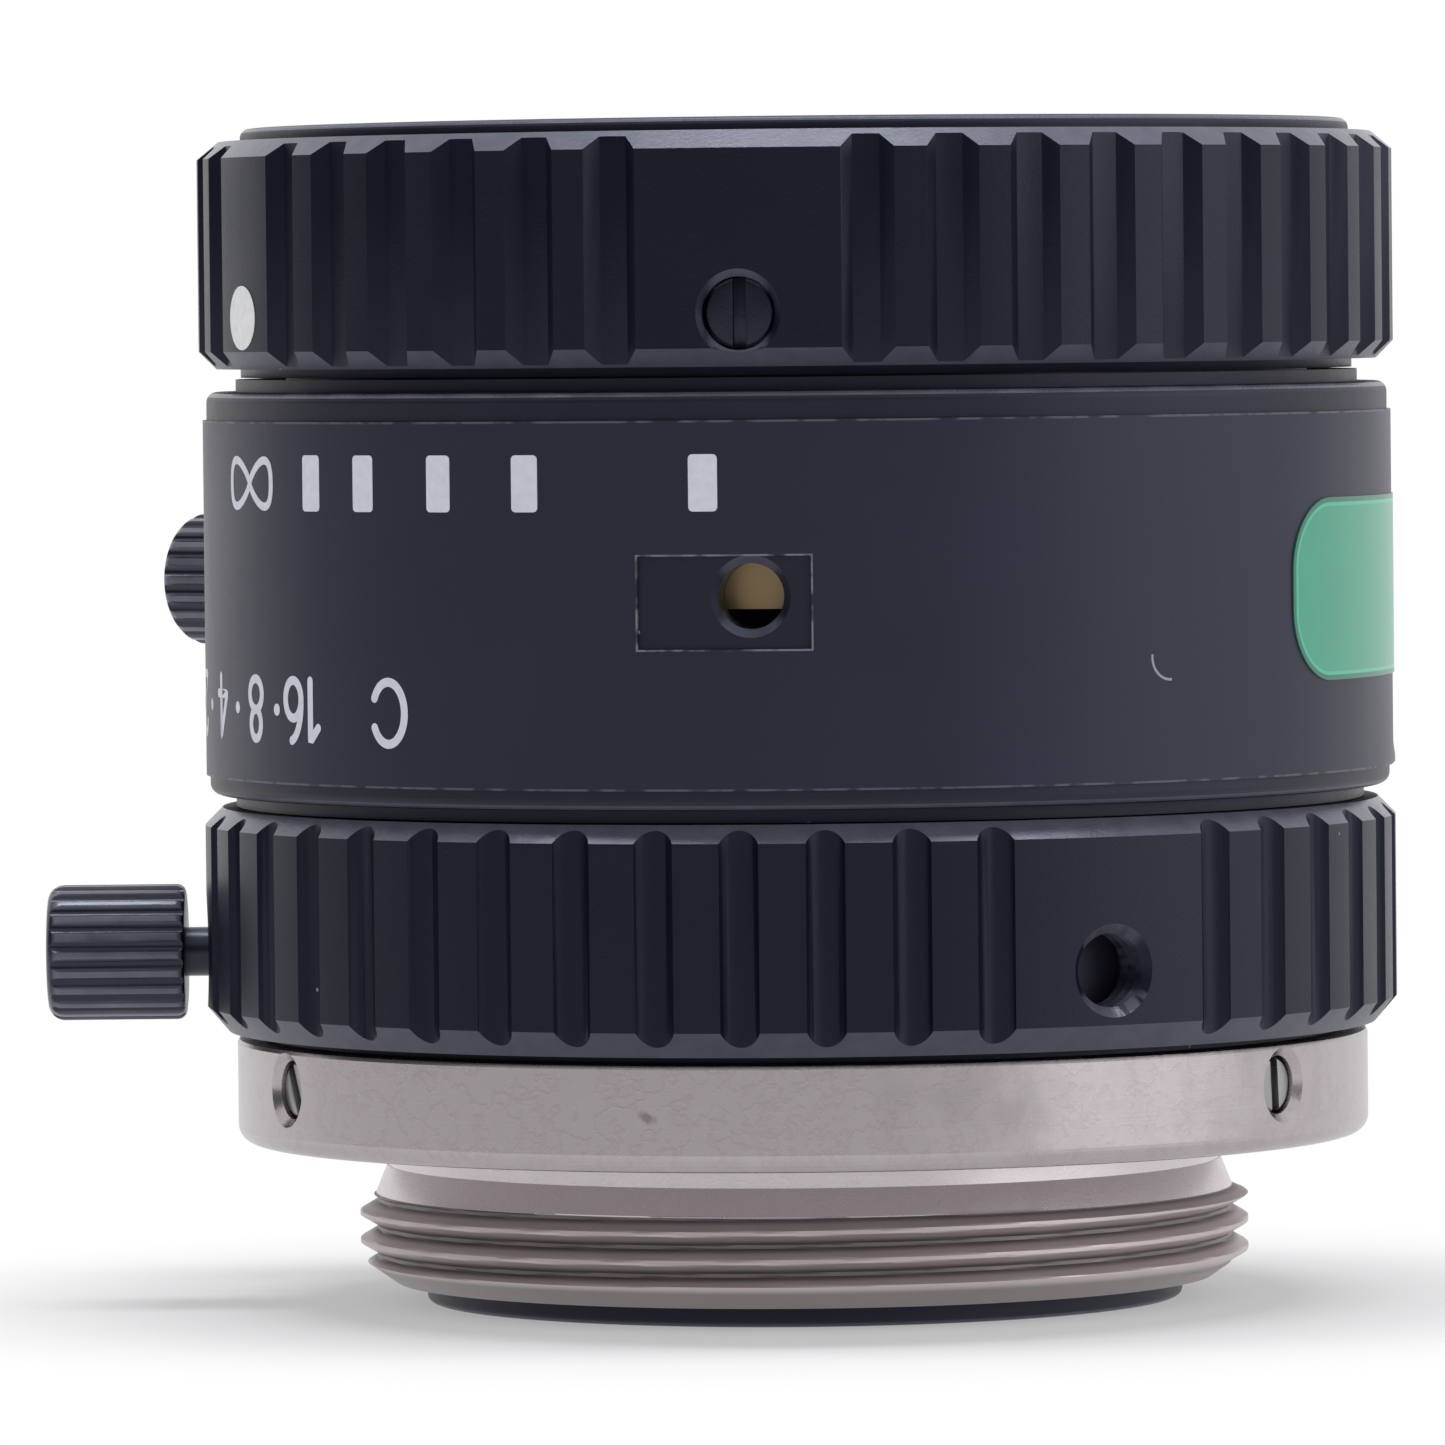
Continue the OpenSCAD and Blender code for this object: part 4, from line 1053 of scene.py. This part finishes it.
def tapped_cutter(radius, pitch, start, end, sink):
    """A cutter with rings for a tapped hole's thread, and a countersink at radius end."""
    outline = [(0, start)]
    x = start
    while x < end - sink:
        outline += [(radius, x), (radius + 0.18, x + pitch / 2)]
        x += pitch
    sink_r = radius + sink + 0.05
    outline += [(radius + 0.02, end - sink + 0.05), (sink_r, end + 0.08), (sink_r, end + 1), (0, end + 1)]
    return rod("tap", outline, 64)


def slotted_screw(radius, tip, head):
    """A headless screw along +X, with a slot across its outer end."""
    outline = [(0, tip), (radius - 0.15, tip), (radius, tip + 0.15), (radius, head - 0.08),
               (radius - 0.08, head), (0, head)]
    screw = rod("screw", outline, 64)
    deselect()
    bpy.ops.mesh.primitive_cube_add(size=1, location=(head, 0, 0), scale=(0.7, 0.36, 4 * radius))
    slot = started("slot")
    bpy.ops.object.transform_apply(location=True, scale=True)
    carved(screw, [slot])
    return softened(screw, 0.02)


def printed_bar(width, height, azimuth, z):
    """A printed bar with slightly rounded corners."""
    bar = raised(plate("bar", round_cornered(width / 2, height / 2, 0.12, 4)), INK_T)
    return wrapped(strips(bar, 0.2), INK_R, azimuth, z)


def printed_dot(radius, azimuth, z, surface_r):
    """A round printed dot."""
    outline = arc(0, 0, radius, radius, 0, 360, 40)
    dot = raised(plate("dot", outline), INK_T if radius < 0.5 else 0.02)
    return mend(wrapped(strips(dot, 0.2), surface_r + 0.002, azimuth, z))


def arc(x, y, half_w, half_h, start, end, steps=32):
    """Points of an elliptical arc."""
    angles = np.radians(np.linspace(start, end, steps, abs(end - start) < 360))
    return [(x + half_w * math.cos(a), y + half_h * math.sin(a)) for a in angles]


# Centre lines of the printed signs, in heights of a sign, each with whether it is closed
GLYPHS = {
    "1": [([(-0.15, 0.24), (0.04, 0.43), (0.04, -0.43)], False)],
    "2": [(arc(0, 0.19, 0.21, 0.24, 165, -35) + [(-0.22, -0.43), (0.23, -0.43)], False)],
    "4": [([(0.09, -0.43), (0.09, 0.43), (-0.24, -0.18), (0.25, -0.18)], False)],
    "6": [(arc(0, -0.16, 0.21, 0.27, 0, 360), True), (arc(0.10, -0.12, 0.31, 0.56, 180, 100, 16), False)],
    "8": [(arc(0, 0.22, 0.17, 0.21, 0, 360), True), (arc(0, -0.21, 0.21, 0.22, 0, 360), True)],
    "C": [(arc(0, 0, 0.31, 0.44, 28, 332), False)],
}


def infinity(width, height, stroke):
    """Centre line of the sign for infinity: two round loops."""
    turns = np.linspace(0, 2 * math.pi, 96, False) + math.pi / 96
    rise = np.sin(2 * turns)
    return np.column_stack((
        (width - stroke) / 2 * np.sin(turns),
        (height - stroke) / 2 * np.sign(rise) * abs(rise) ** 0.75))


def printed_stroke(path, stroke, closed, azimuth, z):
    """A printed line of one width along a path, with round ends."""
    path = np.asarray(path, float)
    if closed:
        ahead = np.roll(path, -1, 0) - np.roll(path, 1, 0)
    else:
        path = evenly(path, 0.08)
        ahead = np.gradient(path, axis=0)
    ahead /= np.linalg.norm(ahead, axis=1)[:, None]
    left = np.column_stack((-ahead[:, 1], ahead[:, 0])) * stroke / 2
    if closed:
        deselect()
        bpy.ops.mesh.primitive_circle_add(vertices=len(path), radius=1)
        line = started("line")
        with editing(line):
            bpy.ops.mesh.extrude_region_move(TRANSFORM_OT_translate={"value": (0, 0, 0)})
        flat = np.vstack((path + left, path - left))
        move_points(line, np.column_stack((flat, np.zeros(len(flat)))))
    else:
        round_end = np.radians(np.linspace(75, -75, 6))[:, None]
        caps = [
            path[end] + way * (ahead[end] * np.cos(round_end) * stroke / 2 + left[end] * np.sin(round_end))
            for end, way in ((-1, 1), (0, -1))]
        line = plate("line", np.vstack((path + left, caps[0], (path - left)[::-1], caps[1])))
    return wrapped(raised(line, INK_T), INK_R, azimuth, z)


def evenly(path, step):
    """The same path with its points a step apart."""
    lengths = np.concatenate(([0], np.cumsum(np.linalg.norm(np.diff(path, axis=0), axis=1))))
    places = np.linspace(0, lengths[-1], max(2, round(lengths[-1] / step)) + 1)
    return np.column_stack([np.interp(places, lengths, path[:, axis]) for axis in (0, 1)])


# Helpers of the studio

def softbox(name, place, target, width, height, power):
    """An area light that faces a point."""
    deselect()
    bpy.ops.object.light_add(type="AREA", location=place)
    lamp = started(name)
    lamp.data.shape = "RECTANGLE"
    lamp.data.size = width
    lamp.data.size_y = height
    lamp.data.energy = power
    aim = Vector(target) - lamp.location
    lamp.rotation_euler = aim.to_track_quat("-Z", "Y").to_euler()


def front_card(brightness):
    """A curved grey card far behind the camera, which only reflections see."""
    card = turned("front_card", oblong(700, 702, -300, 500), 32, -120, 40)
    card.scale = (MM, MM, MM)
    pick(card)
    bpy.ops.object.transform_apply(scale=True)
    paint = Paint("grey card")
    left, right = (rgba((b, b, b * 1.1)) for b in (0.6 * brightness, 1.25 * brightness))
    grey = paint.mix(paint.step(paint.azimuth, -60, 30), left, right)
    card.data.materials.append(paint.shown(paint.node("ShaderNodeEmission", {}, {"Color": grey})))
    for ray in ("camera", "diffuse", "shadow", "transmission", "volume_scatter"):
        setattr(card, f"visible_{ray}", False)


def set_world(scene, strength):
    """White where the camera, metal and glass look, and a softer light for the rest."""
    scene.world = bpy.data.worlds.new("studio_world")
    world = Nodes(scene.world)
    camera, glossy, through = (
        world.node("ShaderNodeLightPath", output=ray)
        for ray in ("Is Camera Ray", "Is Glossy Ray", "Is Transmission Ray"))
    clear = world.math("MAXIMUM", world.math("MAXIMUM", camera, glossy), through)
    room = world.node("ShaderNodeBackground", {}, {"Color": (0.93, 0.95, 1.0, 1), "Strength": strength})
    white = world.node("ShaderNodeBackground", {}, {"Color": (1, 1, 1, 1), "Strength": 1.0})
    world.node("ShaderNodeOutputWorld", {}, {"Surface": world.between(clear, room, white)})


def floor_finish():
    """A white floor that takes the lens's shadow near it and fades into the white room."""
    paint = Paint("studio floor")
    lit = paint.node("ShaderNodeBsdfDiffuse", {}, {"Color": (0.80, 0.80, 0.81, 1)})
    white = paint.node("ShaderNodeEmission", {}, {"Color": (1, 1, 1, 1), "Strength": 1.0})
    far = 0.35 + 0.65 * paint.step(paint.radius, 15.0, 32.0)
    reflected = paint.node("ShaderNodeLightPath", output="Is Glossy Ray")
    return paint.shown(paint.between(paint.math("MAXIMUM", far, reflected * 0.75), lit, white))


# Finishes of the pieces

def grip_finish(context):
    """Black of the grip rings."""
    return satin_black("grip black", context.scene.lens_finish.grip, 0.38, 0.10, dust=0.10)


def black_screw_finish(context):
    """Blackened steel of the focus ring's set screws."""
    return satin_black("blackened screw", context.scene.lens_finish.grip, 0.30, 0.08, dust=0.05, sheen=0.5)


def knurled_finish(context, name, azimuth, height, grip_r):
    """Blackened steel whose knurled crests are rubbed brighter."""
    colour = context.scene.lens_finish.grip
    paint = Paint(name)
    angle = math.radians(azimuth)
    across, up = paint.x * math.cos(angle) + paint.y * math.sin(angle), paint.z - height
    crest = paint.step(paint.math("SQRT", across * across + up * up), grip_r - 0.12, grip_r - 0.02)
    cloud = paint.noise(0.8, 3.0)
    return paint.surface({
        "Base Color": paint.mix(crest * (0.45 + 0.7 * cloud), rgba(colour), (0.13, 0.13, 0.16, 1)),
        "Roughness": 0.30 + 0.12 * (cloud - 0.5) - 0.06 * crest,
        "Specular IOR Level": 0.6,
        "Specular Tint": BLUE_SHEEN,
        "Normal": paint.bump(paint.noise(0.09), 0.006, 0.4),
    })


def screw_metal():
    """Bright steel of the small screws and pins."""
    return turned_metal("screw steel", (0.33, 0.325, 0.33), 0.30, stain=0.15)


def blade_finish():
    """Blackened spring steel of the iris."""
    paint = Paint("blackened steel")
    cloud = paint.noise(1.2, 3.0)
    return paint.surface({
        "Base Color": paint.mix(cloud, (0.035, 0.035, 0.038, 1), (0.06, 0.06, 0.065, 1)),
        "Metallic": 0.6,
        "Roughness": 0.42 + 0.15 * (cloud - 0.5),
        "Normal": paint.bump(paint.noise(0.08), 0.003, 0.4),
    })


def mount_metal(context):
    """Satin nickel on the flange and bare, greyer metal in the thread, with painted light and shade on both.
    """
    finish = context.scene.lens_finish
    paint = Paint("satin nickel")
    ring_place = paint.vector(paint.radius * 14, 0.0, paint.z * 14)
    rings = paint.noise(1.0, 3.0, ring_place)
    cloud = paint.noise(1.1, 4.0, roughness=0.62)
    blotch = paint.step(paint.noise(2.8, 3.0), 0.58, 0.74)
    tone = paint.shades(paint.clamped(0.7 * cloud + 0.3 * rings), finish.nickel, 0.84, 1.14)
    veins = paint.step(abs(paint.noise(0.9, 3.0, roughness=0.6) - 0.5), 0.05, 0.0)
    tone = paint.mix(blotch * 0.18, tone, lighter(finish.nickel, 0.5))
    tone = paint.mix(veins * 0.16, tone, (0.34, 0.22, 0.22, 1))
    # Painted reflection: the relief below the flange is painted lighter, as if it showed the white floor.
    tone = paint.mix(paint.step(paint.z * -1, 0.02, 0.1), tone, lighter(finish.nickel, 1.4))
    in_thread = paint.z < -1.5
    # Painted shade: the thread's roots are painted darker than its crests.
    root = paint.step(paint.radius * -1, -12.5, -12.22)
    bare = paint.shades(root, finish.thread, 1.15, 0.38)
    # Painted shade: the thread's lower end is painted darker.
    bare = paint.mix(paint.step(paint.z * -1, 3.35, 3.7), bare, lighter(finish.thread, 0.45))
    across, up = (paint.azimuth + 15.4) * math.radians(FLANGE_R), paint.z - 1.55
    ragged = 0.25 * (paint.noise(0.3, 2.0) - 0.5)
    dark_spot = paint.step(
        paint.math("SQRT", across * across * 0.35 + (up + across * 0.35) ** 2) + ragged, 0.20, 0.06)
    base = paint.mix(in_thread, tone, bare)
    return paint.surface({
        "Base Color": paint.mix(dark_spot * 0.5, base, (0.10, 0.06, 0.06, 1)),
        "Metallic": 1.0 - 0.35 * in_thread,
        "Roughness": 0.27 + 0.16 * in_thread + 0.14 * (cloud - 0.5) + 0.06 * (rings - 0.5),
        "Normal": paint.bump(rings * 0.4 + veins * 0.6, 0.004, 0.3),
    })


def film_finish(context):
    """Black printed film: smoother than the metal, with a bright cut round its windows."""
    paint = Paint("scale film")
    colour = context.scene.lens_finish.film
    cloud = paint.noise(3.2, 3.0)
    fine = paint.noise(0.09, 2.0)
    specks = paint.specks(1.7, 0.045, 0.08)
    tone = paint.shades(cloud, colour, 0.9, 1.2)
    tone = paint.mix(specks, tone, (0.28, 0.28, 0.32, 1))
    edge = 0.0
    for azimuth in LOCK_AZIMUTHS:
        middle = azimuth + sum(WINDOW_SPREAD) / 2
        across = abs(paint.azimuth - middle) * math.radians(FILM_R)
        half_w = math.radians((WINDOW_SPREAD[1] - WINDOW_SPREAD[0]) / 2) * FILM_R
        up = abs(paint.z - sum(WINDOW_Z) / 2)
        half_h = (WINDOW_Z[1] - WINDOW_Z[0]) / 2
        outside = paint.math("MAXIMUM", across - half_w, up - half_h)
        edge = (outside < 0.05) + edge
    broken = paint.step(paint.noise(0.7), 0.38, 0.55)
    rim = abs(paint.z - sum(FILM_Z) / 2) > 4.99
    light = paint.clamped(edge * broken * 0.34 + rim * broken * 0.14 + fibre_on_film(paint) * 0.6)
    return paint.surface({
        "Base Color": paint.mix(light, tone, (0.50, 0.50, 0.56, 1)),
        "Roughness": 0.40 + 0.08 * (cloud - 0.5) + 0.10 * (fine - 0.5),
        "Specular IOR Level": 0.32,
        "Specular Tint": BLUE_SHEEN,
        "Normal": paint.bump(fine, 0.008, 0.4),
    })


def fibre_on_film(paint):
    """A short curled fibre that lies on the film, right of the middle."""
    along = (paint.azimuth - 37.0) * math.radians(FILM_R)
    up = paint.z - 13.95
    from_curl = paint.math("SQRT", along * along + up * up)
    return (abs(from_curl - 0.62) < 0.035) * (along < 0.05) * (up < 0.08)


def print_finish(name, colour):
    """Screen-printed white: matt, slightly uneven."""
    paint = Paint(name)
    uneven = paint.noise(0.25, 3.0)
    return paint.surface({
        "Base Color": paint.shades(uneven, colour, 0.82, 1.08),
        "Roughness": 0.55 + 0.1 * (uneven - 0.5),
        "Normal": paint.bump(uneven, 0.006, 0.4),
    })


def label_finish(context):
    """Green label with a darker rim and a thin pale line inside it."""
    colour = context.scene.lens_finish.label
    paint = Paint("green label")
    past_seam = paint.azimuth - SEAM_AZIMUTH
    past_seam = past_seam + 360 * (past_seam < -180)
    across = abs(past_seam * math.radians(FILM_R)) - (LABEL_HALF_W - LABEL_CORNER)
    up = abs(paint.z - LABEL_Z) - (LABEL_HALF_H - LABEL_CORNER)
    across, up = (paint.math("MAXIMUM", value, 0.0) for value in (across, up))
    inside = LABEL_CORNER - paint.math("SQRT", across * across + up * up)
    rim = inside < 0.14
    line = (inside > 0.14) * (inside < 0.24)
    fade = paint.noise(1.8, 3.0)
    tone = paint.shades(fade, colour, 0.9, 1.12)
    tone = paint.mix(rim, tone, lighter(colour, 0.5))
    return paint.surface({
        "Base Color": paint.mix(line * 0.35, tone, lighter(colour, 2.2)),
        "Roughness": 0.38 + 0.08 * (fade - 0.5),
        "Coat Weight": 0.25,
        "Normal": paint.bump(paint.noise(0.5, 2.0), 0.006, 0.3),
    })


def glass_finish(context):
    """Coated optical glass: clear, with a bluish film that shows at a glance."""
    coating = context.scene.lens_finish.coating
    paint = Paint("coated glass")
    clear = paint.node("ShaderNodeBsdfPrincipled", {}, {
        "Base Color": (0.96, 0.98, 1.0, 1), "Transmission Weight": 1.0, "Roughness": 0.01, "IOR": 1.52,
        "Specular IOR Level": 0.08})
    film = paint.node("ShaderNodeBsdfGlossy", {}, {"Color": rgba(coating), "Roughness": 0.02})
    facing = paint.node("ShaderNodeFresnel", {}, {"IOR": 1.22})
    return paint.shown(paint.between(facing, clear, film))


# Panel and registration

GROUPS = {"lens_sizes": LensSizes, "lens_finish": LensFinish, "lens_studio": LensStudio}
STEPS = (
    MountRing, MountScrews, RearBaffle, Barrel, ScaleFilm, ScalePrint, SideLabel, IrisRing, FocusRing,
    FocusScrews, LockScrews, FrontBarrel, NameRing, FrontGlass, InnerFinishes, Stage)


class LensPanel(bpy.types.Panel):
    """Sizes, colours and steps of the lens"""

    bl_idname = "LENS_PT_panel"
    bl_label = "Machine Vision Lens"
    bl_space_type = "VIEW_3D"
    bl_region_type = "UI"
    bl_category = "Lens"

    def draw(self, context):
        for attribute, group in GROUPS.items():
            box = self.layout.box()
            for name in group.__annotations__:
                box.prop(getattr(context.scene, attribute), name)
        for step in STEPS:
            self.layout.operator(step.bl_idname)


def register():
    """Registers the classes and hangs the property groups on the scene."""
    for cls in (*GROUPS.values(), *STEPS, LensPanel):
        bpy.utils.register_class(cls)
    for attribute, group in GROUPS.items():
        setattr(bpy.types.Scene, attribute, PointerProperty(type=group))


def unregister():
    """Takes back what register did."""
    for attribute in GROUPS:
        delattr(bpy.types.Scene, attribute)
    for cls in reversed((*GROUPS.values(), *STEPS, LensPanel)):
        bpy.utils.unregister_class(cls)


def main():
    """Registers the add-on, then makes every piece and the studio."""
    register()
    for step in STEPS:
        getattr(bpy.ops.lens, step.bl_idname.split(".")[1])()


if __name__ == "__main__":
    main()
